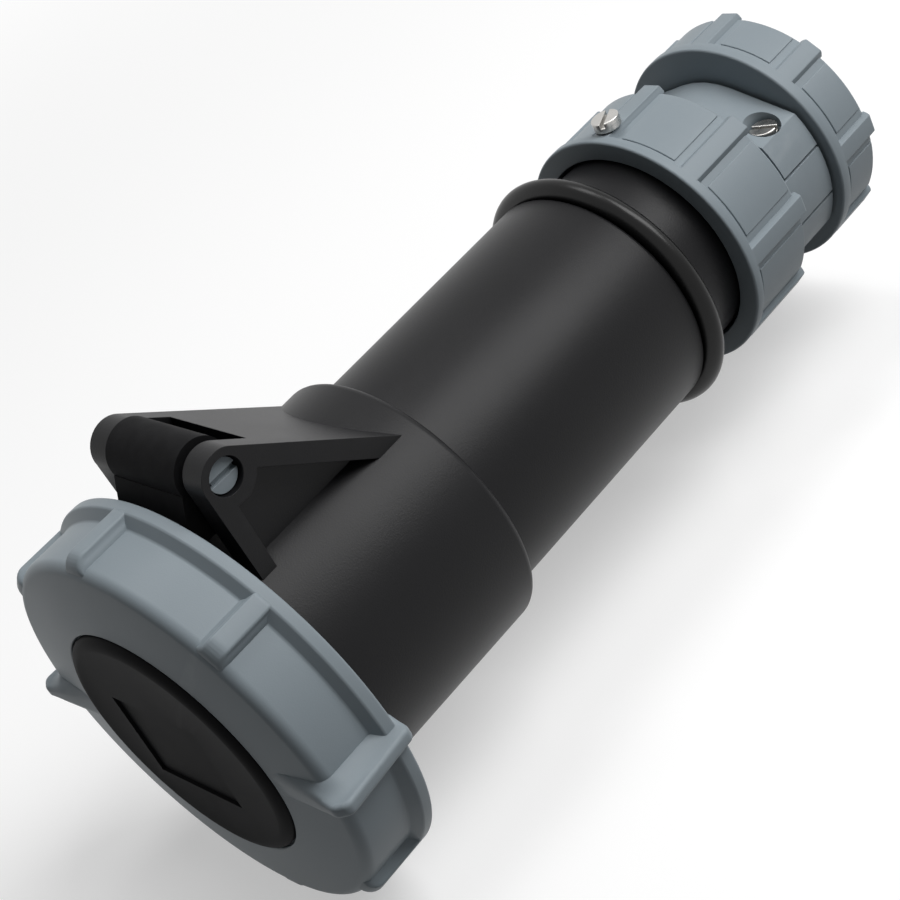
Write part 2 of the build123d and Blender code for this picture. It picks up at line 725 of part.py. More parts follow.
places = contact_list()
write("front_housing", front_housing())
write("contact_carrier", *carrier())
write("earth_contact", contact(places[0][2], places[0][0], places[0][1]))
names = ("line_contact_1", "line_contact_2", "line_contact_3", "neutral_contact")
for number, name in enumerate(names, start=1):
    write(name, contact(places[number][2], places[number][0], places[number][1]))
write("pilot_contact", contact(places[5][2], places[5][0], places[5][1]))
write("terminal_screws", *[terminal_screw(pin, y, z) for y, z, pin in places])
write("carrier_gasket", carrier_gasket())
write("handle", handle())
write("bumper_ring", bumper_ring())
write("hinge_pin", hinge_pin())
write("lid", lid())
write("lid_gasket", lid_gasket())
write("lid_spring", lid_spring())
write("disc_screws", *disc_screws())
write("front_disc", front_disc())
write("bayonet_ring", bayonet_ring())
write("gland_body", gland_body())
write("locking_screw", locking_screw())
write("upper_clamp", clamp_saddle())
write("upper_clamp_screws", *clamp_screws())
write("lower_clamp", Rot(X=180) * clamp_saddle())
write("lower_clamp_screws", *below(clamp_screws()))
write("gland_seal", gland_seal())
write("thrust_washer", thrust_washer())
write("gland_nut", gland_nut())
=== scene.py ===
"""Industrial power coupler: the finished look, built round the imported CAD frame.

All sizes in the sub-assembly classes are millimetres in the row frame: +X runs from the mouth to the
cable, +Z points to the lid's hinge, and angles about the axis are degrees from the hinge towards -Y.
"""

import logging
from dataclasses import dataclass, field
from enum import Enum
from math import asin, cos, pi, radians, sin, sqrt, tan
from typing import Callable, Iterable, Sequence

import bmesh
import bpy
from mathutils import Matrix, Vector


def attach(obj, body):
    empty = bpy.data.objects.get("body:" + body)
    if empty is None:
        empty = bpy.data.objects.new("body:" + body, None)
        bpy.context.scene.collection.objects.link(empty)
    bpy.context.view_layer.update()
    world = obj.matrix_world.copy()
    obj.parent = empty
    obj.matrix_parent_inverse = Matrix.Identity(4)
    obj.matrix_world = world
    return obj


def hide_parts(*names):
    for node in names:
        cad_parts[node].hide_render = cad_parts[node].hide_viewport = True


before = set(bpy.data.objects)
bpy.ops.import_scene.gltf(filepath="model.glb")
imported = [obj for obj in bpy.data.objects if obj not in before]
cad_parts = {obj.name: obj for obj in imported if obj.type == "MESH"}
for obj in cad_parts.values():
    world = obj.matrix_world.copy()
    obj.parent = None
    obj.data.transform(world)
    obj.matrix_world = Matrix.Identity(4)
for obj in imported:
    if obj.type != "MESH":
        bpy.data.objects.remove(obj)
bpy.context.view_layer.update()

logging.basicConfig(level=logging.INFO, format="%(levelname)s %(message)s")
log = logging.getLogger("coupler")

# Metres in a millimetre
MM = 0.001
# Angle of the first rib of the ring, the collar and the nut, and the angle from rib to rib
RING_PHASE = -2.5
RIB_PITCH = 45.0
RIB_COUNT = 8
# Vertices closer than this, in millimetres, are one
WELD = 1e-4
# Ribs and wings are cut into cells of about this many millimetres, so that their feet can spread
CELL = 0.8
# Where nearly all values of a noise lie
NOISE_SPAN = (0.3, 0.7)
Corner = tuple[float, float]
Point = tuple[float, float, float]
Colour = tuple[float, float, float]
Solid = bmesh.types.BMesh
Tree = bpy.types.NodeTree
Socket = bpy.types.NodeSocket
Sockets = bpy.types.bpy_prop_collection
Setting = float | tuple[float, ...] | Socket


class Body(Enum):
    """The rigid bodies that the pieces made here ride on."""

    HOUSING = "body"
    LID = "lid"
    RING = "ring"
    UPPER_SADDLE = "upper_saddle"
    LOWER_SADDLE = "lower_saddle"
    NUT = "nut"


class Slot(Enum):
    """The record's material slots."""

    BLACK = "black_plastic"
    GREY = "grey_plastic"
    INSERT = "insert_plastic"
    RUBBER = "rubber"
    STEEL = "steel"
    BRASS = "brass"


# Shared shader groups


def feed(tree: Tree, target: Socket, value: Setting) -> None:
    """Gives an input its value, or links it to the socket that makes it.

    Args:
        tree: the tree they are in.
        target: the input.
        value: a number, a colour, a vector or a socket.
    """
    if isinstance(value, bpy.types.NodeSocket):
        tree.links.new(value, target)
    else:
        target.default_value = value


def fed(tree: Tree, kind: str, inputs: dict[str | int, Setting]) -> bpy.types.Node:
    """Adds a node and feeds its inputs.

    Args:
        tree: the tree it goes into.
        kind: its type, after ShaderNode.
        inputs: an input's name or number to its value.

    Returns:
        The node.
    """
    node = tree.nodes.new(f"ShaderNode{kind}")
    for key, value in inputs.items():
        feed(tree, node.inputs[key], value)
    return node


def new_group(name: str, inputs: dict[str, float], outputs: Sequence[str]) -> tuple[Tree, Sockets, Sockets]:
    """Makes an empty shader group that reads coordinates and numbers and puts out numbers.

    Args:
        name: the group's name.
        inputs: its number inputs, to their defaults.
        outputs: its outputs.

    Returns:
        The tree, the sockets that bring the inputs, and those that take the outputs.
    """
    tree = bpy.data.node_groups.new(name, "ShaderNodeTree")
    tree.interface.new_socket(name="Vector", in_out="INPUT", socket_type="NodeSocketVector")
    for label, value in inputs.items():
        made = tree.interface.new_socket(name=label, in_out="INPUT", socket_type="NodeSocketFloat")
        made.default_value = value
    for label in outputs:
        tree.interface.new_socket(name=label, in_out="OUTPUT", socket_type="NodeSocketFloat")
    return tree, tree.nodes.new("NodeGroupInput").outputs, tree.nodes.new("NodeGroupOutput").inputs


def noise(tree: Tree, vector: Socket, scale: Setting, detail: float, roughness: float = 0.5) -> Socket:
    """Adds a noise texture.

    Args:
        tree: the tree it goes into.
        vector: the coordinates.
        scale: features per metre.
        detail: octaves.
        roughness: weight of the finer octaves.

    Returns:
        The noise's value, about 0.5 in the middle.
    """
    inputs = {"Vector": vector, "Scale": scale, "Detail": detail, "Roughness": roughness}
    return fed(tree, "TexNoise", inputs).outputs["Fac"]


def remap(tree: Tree, value: Socket, span: Corner, to_low: Setting, to_high: Setting) -> Socket:
    """Maps a range of values on to another, clamped.

    Args:
        tree: the tree it goes into.
        value: what is mapped.
        span: the range's ends.
        to_low: what the lower end becomes.
        to_high: what the upper end becomes.

    Returns:
        The mapped value.
    """
    inputs = {"Value": value, "From Min": span[0], "From Max": span[1], "To Min": to_low, "To Max": to_high}
    return fed(tree, "MapRange", inputs).outputs["Result"]


def calculated(tree: Tree, operation: str, first: Socket, second: Socket) -> Socket:
    """Works out one number from two.

    Args:
        tree: the tree it goes into.
        operation: the Math node's operation.
        first: the first number.
        second: the second number.

    Returns:
        The result.
    """
    node = fed(tree, "Math", {0: first, 1: second})
    node.operation = operation
    return node.outputs["Value"]


def moulded_grain_group() -> Tree:
    """The fine spark-eroded grain of a moulded surface.

    Returns:
        A group that turns coordinates and a grain size into a height.
    """
    tree, inside, outside = new_group("moulded_grain", {"Grain": 2600.0}, ["Height"])
    fine = noise(tree, inside["Vector"], inside["Grain"], 2.0, 0.6)
    feed(tree, outside["Height"], remap(tree, fine, NOISE_SPAN, 0.0, 1.0))
    return tree


def tone_group() -> Tree:
    """The slight cloudiness of a moulded or handled surface, in colour and gloss.

    Returns:
        A group that gives a mask from 0 to 1 and a roughness between two values.
    """
    tree, inside, outside = new_group("surface_tone", {"Patch": 40.0, "Smoothest": 0.4, "Roughest": 0.5},
                                      ["Mask", "Roughness"])
    cloud = noise(tree, inside["Vector"], inside["Patch"], 4.0, 0.55)
    feed(tree, outside["Mask"], remap(tree, cloud, NOISE_SPAN, 0.0, 1.0))
    feed(tree, outside["Roughness"], remap(tree, cloud, NOISE_SPAN, inside["Smoothest"], inside["Roughest"]))
    return tree


def edge_wear_and_highlight_group() -> Tree:
    """Lighter wear along convex edges, which also serves as a painted highlight on them.

    Returns:
        A group that gives a mask of the worn edges that also carry the painted highlight.
    """
    tree, inside, outside = new_group("edge_wear_and_painted_highlight", {"Amount": 0.5}, ["Mask"])
    geometry = tree.nodes.new("ShaderNodeNewGeometry")
    # Convex edges, broken up by noise: wear, and a painted highlight along the rims
    convex = remap(tree, geometry.outputs["Pointiness"], (0.52, 0.6), 0.0, 1.0)
    broken = remap(tree, noise(tree, inside["Vector"], 260.0, 3.0), (0.35, 0.65), 0.3, 1.0)
    marks = calculated(tree, "MULTIPLY", convex, broken)
    feed(tree, outside["Mask"], calculated(tree, "MULTIPLY", marks, inside["Amount"]))
    return tree


@dataclass
class GroupShelf:
    """The shared shader groups, each built once.

    Attributes:
        grain: the moulded grain.
        tone: the cloudiness.
        edge: the worn edges, with their painted highlight.
    """

    grain: Tree = field(default_factory=moulded_grain_group)
    tone: Tree = field(default_factory=tone_group)
    # Edge wear and painted highlight along convex edges
    edge: Tree = field(default_factory=edge_wear_and_highlight_group)


@dataclass(frozen=True)
class Finish:
    """A moulded, cut or plated surface.

    Attributes:
        name: the material's name.
        slot: the record's slot that it belongs to; not used.
        base: the main colour.
        second: the colour of the cloudy patches.
        edge: the colour of worn edges, lighter than the base so that it is a painted highlight too.
        edge_wear_and_highlight_amount: how far edges take that colour.
        smoothest: lowest roughness.
        roughest: highest roughness.
        patch: patches per metre.
        grain: grains per metre.
        grain_depth: grain height in metres.
        metallic: whether it is bare metal.
        stretch: how far the grain is drawn out along the axis, 1 being not at all.
        specular: strength of the plain reflection.
    """

    name: str
    slot: Slot
    base: Colour
    second: Colour
    # Lighter colour on convex edges: wear, and a painted highlight
    edge: Colour
    edge_wear_and_highlight_amount: float = 0.4
    smoothest: float = 0.4
    roughest: float = 0.5
    patch: float = 45.0
    grain: float = 2600.0
    grain_depth: float = 0.00002
    metallic: bool = False
    stretch: float = 1.0
    specular: float = 0.5

    def make(self, groups: GroupShelf) -> bpy.types.Material:
        """Builds the material.

        Args:
            groups: the shared shader groups.

        Returns:
            The material.
        """
        material = bpy.data.materials.new(self.name)
        material.use_nodes = True
        material.diffuse_color = (*self.base, 1.0)
        tree = material.node_tree
        place = tree.nodes.new("ShaderNodeTexCoord").outputs["Object"]
        drawn = place
        if self.stretch != 1.0:
            scale = (1.0 / self.stretch, 1.0, 1.0)
            drawn = fed(tree, "Mapping", {"Vector": place, "Scale": scale}).outputs["Vector"]
        tone = self._grouped(tree, groups.tone, Vector=place, Patch=self.patch, Smoothest=self.smoothest,
                             Roughest=self.roughest)
        grain = self._grouped(tree, groups.grain, Vector=drawn, Grain=self.grain)
        # Convex edges take the lighter edge colour: wear, and a painted highlight along them
        wear_and_highlight = self._grouped(tree, groups.edge, Vector=place, Amount=self.edge_wear_and_highlight_amount)
        cloudy = self._mix(tree, tone["Mask"], (*self.base, 1.0), self.second)
        bump = fed(tree, "Bump", {"Distance": self.grain_depth, "Height": grain["Height"]})
        looks = {"Metallic": 1.0 if self.metallic else 0.0, "Specular IOR Level": self.specular,
                 "Base Color": self._mix(tree, wear_and_highlight["Mask"], cloudy, self.edge),
                 "Roughness": tone["Roughness"], "Normal": bump.outputs["Normal"]}
        for name, value in looks.items():
            feed(tree, tree.nodes["Principled BSDF"].inputs[name], value)
        return material

    @staticmethod
    def _grouped(tree: Tree, group: Tree, **inputs: Setting) -> Sockets:
        """Places a shared group with its own values.

        Args:
            tree: the material's tree.
            group: the shared group.
            inputs: its coordinates and values.

        Returns:
            The group's outputs.
        """
        node = tree.nodes.new("ShaderNodeGroup")
        node.node_tree = group
        for name, value in inputs.items():
            feed(tree, node.inputs[name], value)
        return node.outputs

    @staticmethod
    def _mix(tree: Tree, mask: Socket, first: Setting, second: Colour) -> Socket:
        """Mixes two colours by a mask.

        Args:
            tree: the material's tree.
            mask: 0 for the first colour, 1 for the second.
            first: a colour with its alpha, or a socket.
            second: a colour.

        Returns:
            The mixed colour.
        """
        node = tree.nodes.new("ShaderNodeMix")
        node.data_type = "RGBA"
        for name, value in (("Factor", mask), ("A", first), ("B", (*second, 1.0))):
            feed(tree, node.inputs[name], value)
        return node.outputs["Result"]


# The third colour of each finish is its worn edge colour, lighter than the base so that it also paints a
# highlight along convex edges
BLACK_SHELL = Finish("black_shell", Slot.BLACK, (0.0066, 0.0066, 0.0074), (0.0078, 0.0078, 0.0086),
                     (0.020, 0.020, 0.021), smoothest=0.38, roughest=0.41, grain=2400.0, grain_depth=0.000016,
                     specular=0.16)
BLACK_CAP = Finish("black_cap", Slot.BLACK, (0.0042, 0.0042, 0.0046), (0.0050, 0.0050, 0.0054),
                   (0.016, 0.016, 0.017), smoothest=0.62, roughest=0.66, grain=3000.0, grain_depth=0.00001,
                   specular=0.05)
BLUE_GREY = Finish("blue_grey", Slot.GREY, (0.215, 0.252, 0.277), (0.223, 0.260, 0.285), (0.31, 0.345, 0.37),
                   smoothest=0.42, roughest=0.47, patch=30.0, grain=3000.0, grain_depth=0.000008,
                   specular=0.2)
INSERT_MOULDING = Finish("insert_moulding", Slot.INSERT, (0.02, 0.02, 0.022), (0.026, 0.026, 0.028),
                         (0.05, 0.05, 0.05), smoothest=0.42, roughest=0.5)
SOFT_RUBBER = Finish("soft_rubber", Slot.RUBBER, (0.0020, 0.0020, 0.0021), (0.0026, 0.0026, 0.0027),
                     (0.010, 0.010, 0.010), smoothest=0.27, roughest=0.31, grain=1500.0, grain_depth=0.000006,
                     specular=0.24)
ZINCED_STEEL = Finish("zinced_steel", Slot.STEEL, (0.52, 0.51, 0.49), (0.47, 0.46, 0.44), (0.66, 0.65, 0.63),
                      smoothest=0.24, roughest=0.34, patch=300.0, grain=5000.0, grain_depth=0.000004,
                      metallic=True)
TURNED_BRASS = Finish("turned_brass", Slot.BRASS, (0.72, 0.53, 0.22), (0.66, 0.47, 0.18), (0.8, 0.62, 0.3),
                      smoothest=0.22, roughest=0.32, patch=200.0, grain=4000.0, grain_depth=0.000004,
                      metallic=True, stretch=0.2)


def placed(name: str, data: bpy.types.ID) -> bpy.types.Object:
    """An object with that data, in the scene.

    Args:
        name: the object's name.
        data: its mesh, light or camera.

    Returns:
        The object.
    """
    thing = bpy.data.objects.new(name, data)
    bpy.context.scene.collection.objects.link(thing)
    return thing


def solid_object(name: str, form: Solid) -> bpy.types.Object:
    """An object made of a form.

    Args:
        name: the object's name.
        form: the form, which is used up.

    Returns:
        The object, in the scene.
    """
    mesh = bpy.data.meshes.new(name)
    form.to_mesh(mesh)
    form.free()
    return placed(name, mesh)


@dataclass
class Workshop:
    """Makes materials once, and turns finished meshes into pieces that ride on the frame.

    Attributes:
        groups: the shared shader groups.
        made: the materials built so far, by their finish's name.
    """

    groups: GroupShelf = field(default_factory=GroupShelf)
    made: dict[str, bpy.types.Material] = field(default_factory=dict)

    def material(self, finish: Finish) -> bpy.types.Material:
        """The material of a finish, built on first use.

        Args:
            finish: the finish.

        Returns:
            Its material.
        """
        if finish.name not in self.made:
            self.made[finish.name] = finish.make(self.groups)
        return self.made[finish.name]

    def piece(self, name: str, form: Solid, finish: Finish, body: Body,
              stands_for: Sequence[str] = (), edge: float = 0.35, steps: int = 2,
              sharpest: float = 32.0) -> bpy.types.Object:
        """Finishes a form as a piece of the object.

        Args:
            name: the piece's name.
            form: the mesh in millimetres; it is used up.
            finish: its finish.
            body: the body it rides on.
            stands_for: CAD nodes that it replaces.
            edge: the radius of its moulded edges in millimetres, 0 for none.
            steps: segments round each edge.
            sharpest: edges that turn by more than this many degrees are rounded.

        Returns:
            The object.
        """
        form.transform(Matrix.Scale(MM, 4))
        for face in form.faces:
            face.smooth = True
        thing = solid_object(name, form)
        thing.data.materials.append(self.material(finish))
        if edge > 0:
            rounding = thing.modifiers.new("moulded_edges", "BEVEL")
            rounding.width = edge * MM
            rounding.segments = steps
            rounding.limit_method = "ANGLE"
            rounding.angle_limit = radians(sharpest)
            rounding.harden_normals = True
            rounding.use_clamp_overlap = True
        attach(thing, body.value)
        if stands_for:
            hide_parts(*stands_for)
        log.info("%s rides on %s, %d faces", name, body.value, len(thing.data.polygons))
        return thing

    def dress(self, node: str, finish: Finish) -> None:
        """Gives a CAD node its finish.

        Args:
            node: the node's name.
            finish: its finish.
        """
        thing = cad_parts[node]
        if thing.material_slots:
            thing.material_slots[0].material = self.material(finish)
        else:
            thing.data.materials.append(self.material(finish))
        log.info("%s keeps its CAD shape", node)


# Shaping tools


def round_corner(form: Solid, face: bmesh.types.BMFace, place: Vector, radius: float,
                 segments: int) -> None:
    """Rounds one corner of a flat face to a true radius.

    Args:
        form: the mesh that holds the face.
        face: the flat face.
        place: where the corner is.
        radius: the fillet's radius.
        segments: how many edges round it.
    """
    loop = min(face.loops, key=lambda item: (item.vert.co - place).length)
    before = (loop.link_loop_prev.vert.co - loop.vert.co).normalized()
    after = (loop.link_loop_next.vert.co - loop.vert.co).normalized()
    half = before.angle(after) / 2
    bmesh.ops.bevel(form, geom=[loop.vert], offset=radius / tan(half), offset_type="OFFSET",
                    segments=segments, profile=0.5, affect="VERTICES", material=-1, clamp_overlap=True)


def flat_outline(points: Sequence[Vector], rounds: dict[int, float], segments: int = 5) -> Solid:
    """A flat face with some rounded corners.

    Args:
        points: its corners in order.
        rounds: corner number to fillet radius.
        segments: edges round each fillet.

    Returns:
        A mesh with that one face.
    """
    form = bmesh.new()
    form.faces.new([form.verts.new(point) for point in points])
    for index, radius in rounds.items():
        form.faces.ensure_lookup_table()
        round_corner(form, form.faces[0], points[index], radius, segments)
    return form


def turned(corners: Sequence[Corner], rounds: dict[int, float] | None = None, steps: int = 160,
           start: float = RING_PHASE, segments: int = 5) -> Solid:
    """A body of revolution about the main axis.

    Args:
        corners: its section as (x, radius), in order.
        rounds: corner number to fillet radius.
        steps: columns round the axis.
        start: angle of the first column.
        segments: edges round each fillet.

    Returns:
        The closed mesh.
    """
    form = flat_outline([Vector((x, 0.0, r)) for x, r in corners], rounds or {}, segments)
    bmesh.ops.delete(form, geom=form.faces[:], context="FACES_ONLY")
    axial = [edge for edge in form.edges if max(abs(vert.co.z) for vert in edge.verts) < 1e-6]
    bmesh.ops.delete(form, geom=axial, context="EDGES")
    turn = Matrix.Rotation(radians(start), 3, "X")
    bmesh.ops.rotate(form, verts=form.verts[:], cent=(0, 0, 0), matrix=turn)
    bmesh.ops.spin(form, geom=form.verts[:] + form.edges[:], cent=(0, 0, 0), axis=(1, 0, 0), dvec=(0, 0, 0),
                   angle=2 * pi, steps=steps, use_merge=True, use_duplicate=False)
    bmesh.ops.remove_doubles(form, verts=form.verts[:], dist=WELD)
    bmesh.ops.recalc_face_normals(form, faces=form.faces[:])
    return form


def prism(points: Sequence[Vector], way: Vector, rounds: dict[int, float] | None = None,
          segments: int = 5) -> Solid:
    """A flat outline drawn out into a solid.

    Args:
        points: the outline's corners.
        way: how far and which way it is drawn.
        rounds: corner number to fillet radius.
        segments: edges round each fillet.

    Returns:
        The closed mesh.
    """
    form = flat_outline(points, rounds or {}, segments)
    drawn = bmesh.ops.extrude_face_region(form, geom=form.faces[:])
    moved = [item for item in drawn["geom"] if isinstance(item, bmesh.types.BMVert)]
    bmesh.ops.translate(form, verts=moved, vec=way)
    bmesh.ops.recalc_face_normals(form, faces=form.faces[:])
    return form


def side_prism(low: float, high: float, corners: Sequence[Corner], rounds: dict[int, float] | None = None,
               segments: int = 5) -> Solid:
    """A prism across Y from an outline of (x, z) corners."""
    points = [Vector((x, low, z)) for x, z in corners]
    return prism(points, Vector((0, high - low, 0)), rounds, segments)


def end_prism(low: float, high: float, corners: Sequence[Corner], rounds: dict[int, float] | None = None,
              segments: int = 5) -> Solid:
    """A prism along X from an outline of (y, z) corners."""
    points = [Vector((low, y, z)) for y, z in corners]
    return prism(points, Vector((high - low, 0, 0)), rounds, segments)


def rod(start: Sequence[float], end: Sequence[float], radius: float, steps: int = 40) -> Solid:
    """A round rod between two points.

    Args:
        start: the middle of one end.
        end: the middle of the other.
        radius: its radius.
        steps: columns round it.

    Returns:
        The closed mesh.
    """
    form = bmesh.new()
    way = Vector(end) - Vector(start)
    bmesh.ops.create_cone(form, cap_ends=True, segments=steps, radius1=radius, radius2=radius,
                          depth=way.length)
    turn = Vector((0, 0, 1)).rotation_difference(way).to_matrix().to_4x4()
    form.transform(Matrix.Translation((Vector(start) + Vector(end)) / 2) @ turn)
    return form


def arc(angles: Iterable[float], radius: float, middle: Corner = (0.0, 0.0)) -> list[Corner]:
    """Points on a circle, at angles in degrees from its first axis."""
    return [(middle[0] + radius * cos(radians(a)), middle[1] + radius * sin(radians(a))) for a in angles]


def sector(first: float, second: float, half: float, count: int = 4) -> list[Corner]:
    """The (y, z) outline of a piece of tube on the hinge's side.

    Args:
        first: the radius that the outline starts on.
        second: the radius that it comes back on.
        half: how far it reaches each way, in radians.
        count: steps each way.

    Returns:
        Its corners in order.
    """
    turns = [half * k / count for k in range(-count, count + 1)]
    return [(r * sin(a), r * cos(a)) for r, row in ((first, turns), (second, turns[::-1])) for a in row]


def block(low: Sequence[float], high: Sequence[float]) -> Solid:
    """A box, as a cutter.

    Args:
        low: its lowest corner.
        high: its highest corner.

    Returns:
        The closed mesh.
    """
    form = bmesh.new()
    bmesh.ops.create_cube(form, size=1.0)
    size = [b - a for a, b in zip(low, high)]
    middle = [(a + b) / 2 for a, b in zip(low, high)]
    form.transform(Matrix.Translation(middle) @ Matrix.Diagonal((*size, 1.0)))
    return form


def turn_to(form: Solid, angle: float, axis: str = "X") -> Solid:
    """The form, carried round an axis through the origin by an angle in degrees."""
    form.transform(Matrix.Rotation(radians(angle), 4, axis))
    return form


def joined(*forms: Solid) -> Solid:
    """Several closed forms in one mesh.

    Args:
        forms: the forms; all but the result are used up.

    Returns:
        One mesh.
    """
    result = bmesh.new()
    for form in forms:
        shelf = bpy.data.meshes.new("joining")
        form.to_mesh(shelf)
        form.free()
        result.from_mesh(shelf)
        bpy.data.meshes.remove(shelf)
    return result


def combined(form: Solid, others: Iterable[Solid], operation: str) -> Solid:
    """A solid cut by others, or grown together with them.

    Args:
        form: the solid, in millimetres.
        others: the other solids; all are used up.
        operation: DIFFERENCE, UNION or INTERSECT.

    Returns:
        The resulting solid.
    """
    things = [solid_object(f"shaping_{number}", shape) for number, shape in enumerate([form, *others])]
    for cutter in things[1:]:
        step = things[0].modifiers.new("shape", "BOOLEAN")
        step.operation = operation
        step.solver = "EXACT"
        step.object = cutter
    shaped = things[0].evaluated_get(bpy.context.evaluated_depsgraph_get())
    result = bmesh.new()
    result.from_mesh(bpy.data.meshes.new_from_object(shaped))
    for thing in things:
        mesh = thing.data
        bpy.data.objects.remove(thing)
        bpy.data.meshes.remove(mesh)
    bmesh.ops.remove_doubles(result, verts=result.verts[:], dist=WELD)
    bmesh.ops.dissolve_degenerate(result, edges=result.edges[:], dist=WELD)
    return result


def fin(corners: Sequence[Corner], rounds: dict[int, float], half_width: float, edge: float,
        height: Callable[[float, float], float], flare: float, reach: float) -> Solid:
    """An upright plate across Y with rounded edges, whose foot spreads into the surface it stands on.

    Args:
        corners: its outline as (x, z).
        rounds: corner number to fillet radius.
        half_width: half its thickness.
        edge: the radius of its long edges.
        height: gives the height of (x, z) over that surface.
        flare: how much wider the foot is, as a share of the thickness.
        reach: the height at which the spreading ends.

    Returns:
        The closed mesh.
    """
    form = side_prism(-half_width, half_width, corners, rounds, 6)
    rims = [item for item in form.edges if abs(item.verts[0].co.y - item.verts[1].co.y) < 1e-6]
    bmesh.ops.bevel(form, geom=rims, offset=edge, offset_type="OFFSET", segments=4, profile=0.5,
                    affect="EDGES", material=-1, clamp_overlap=False)
    for axis, index in ((Vector((1, 0, 0)), 0), (Vector((0, 0, 1)), 2)):
        places = [vert.co[index] for vert in form.verts]
        count = int((max(places) - min(places)) / CELL)
        for step in range(1, count):
            plane = axis * (min(places) + (max(places) - min(places)) * step / count)
            bmesh.ops.bisect_plane(form, geom=form.verts[:] + form.edges[:] + form.faces[:], dist=WELD,
                                   plane_co=plane, plane_no=axis)
    for vert in form.verts:
        share = min(max(height(vert.co.x, vert.co.z) / reach, 0.0), 1.0)
        vert.co.y *= 1 + flare * (1 - share) ** 2
    return form


# Sub-assemblies


@dataclass
class CheeseHeadScrew:
    """A slotted screw, along -Z from the underside of its head.

    Attributes:
        head_radius: radius of the head.
        head_height: height of the head.
        shank_radius: radius of the thread.
        length: length of the thread.
        slot_width: width of the slot.
        slot_depth: depth of the slot.
    """

    head_radius: float = 3.8
    head_height: float = 3.0
    shank_radius: float = 1.95
    length: float = 14.6
    slot_width: float = 1.1
    slot_depth: float = 1.3

    def form(self) -> Solid:
        """The screw at the origin.

        Returns:
            Its closed mesh.
        """
        r, slot_floor = self.head_radius, self.head_height - self.slot_depth
        body = turned([(slot_floor, 0.0), (slot_floor, r - 0.05), (0.0, r - 0.05), (0.0, self.shank_radius),
                       (-self.length, self.shank_radius), (-self.length, 0.0)], steps=48)
        body.transform(Matrix.Rotation(radians(-90), 4, "Y"))
        start = asin(self.slot_width / 2 / r)
        turns = [start + (pi - 2 * start) * k / 24 for k in range(25)]
        cheeks = [prism([Vector((r * cos(a), side * r * sin(a), slot_floor - 0.4)) for a in turns],
                        Vector((0, 0, self.slot_depth + 0.4))) for side in (1, -1)]
        return joined(body, *cheeks)


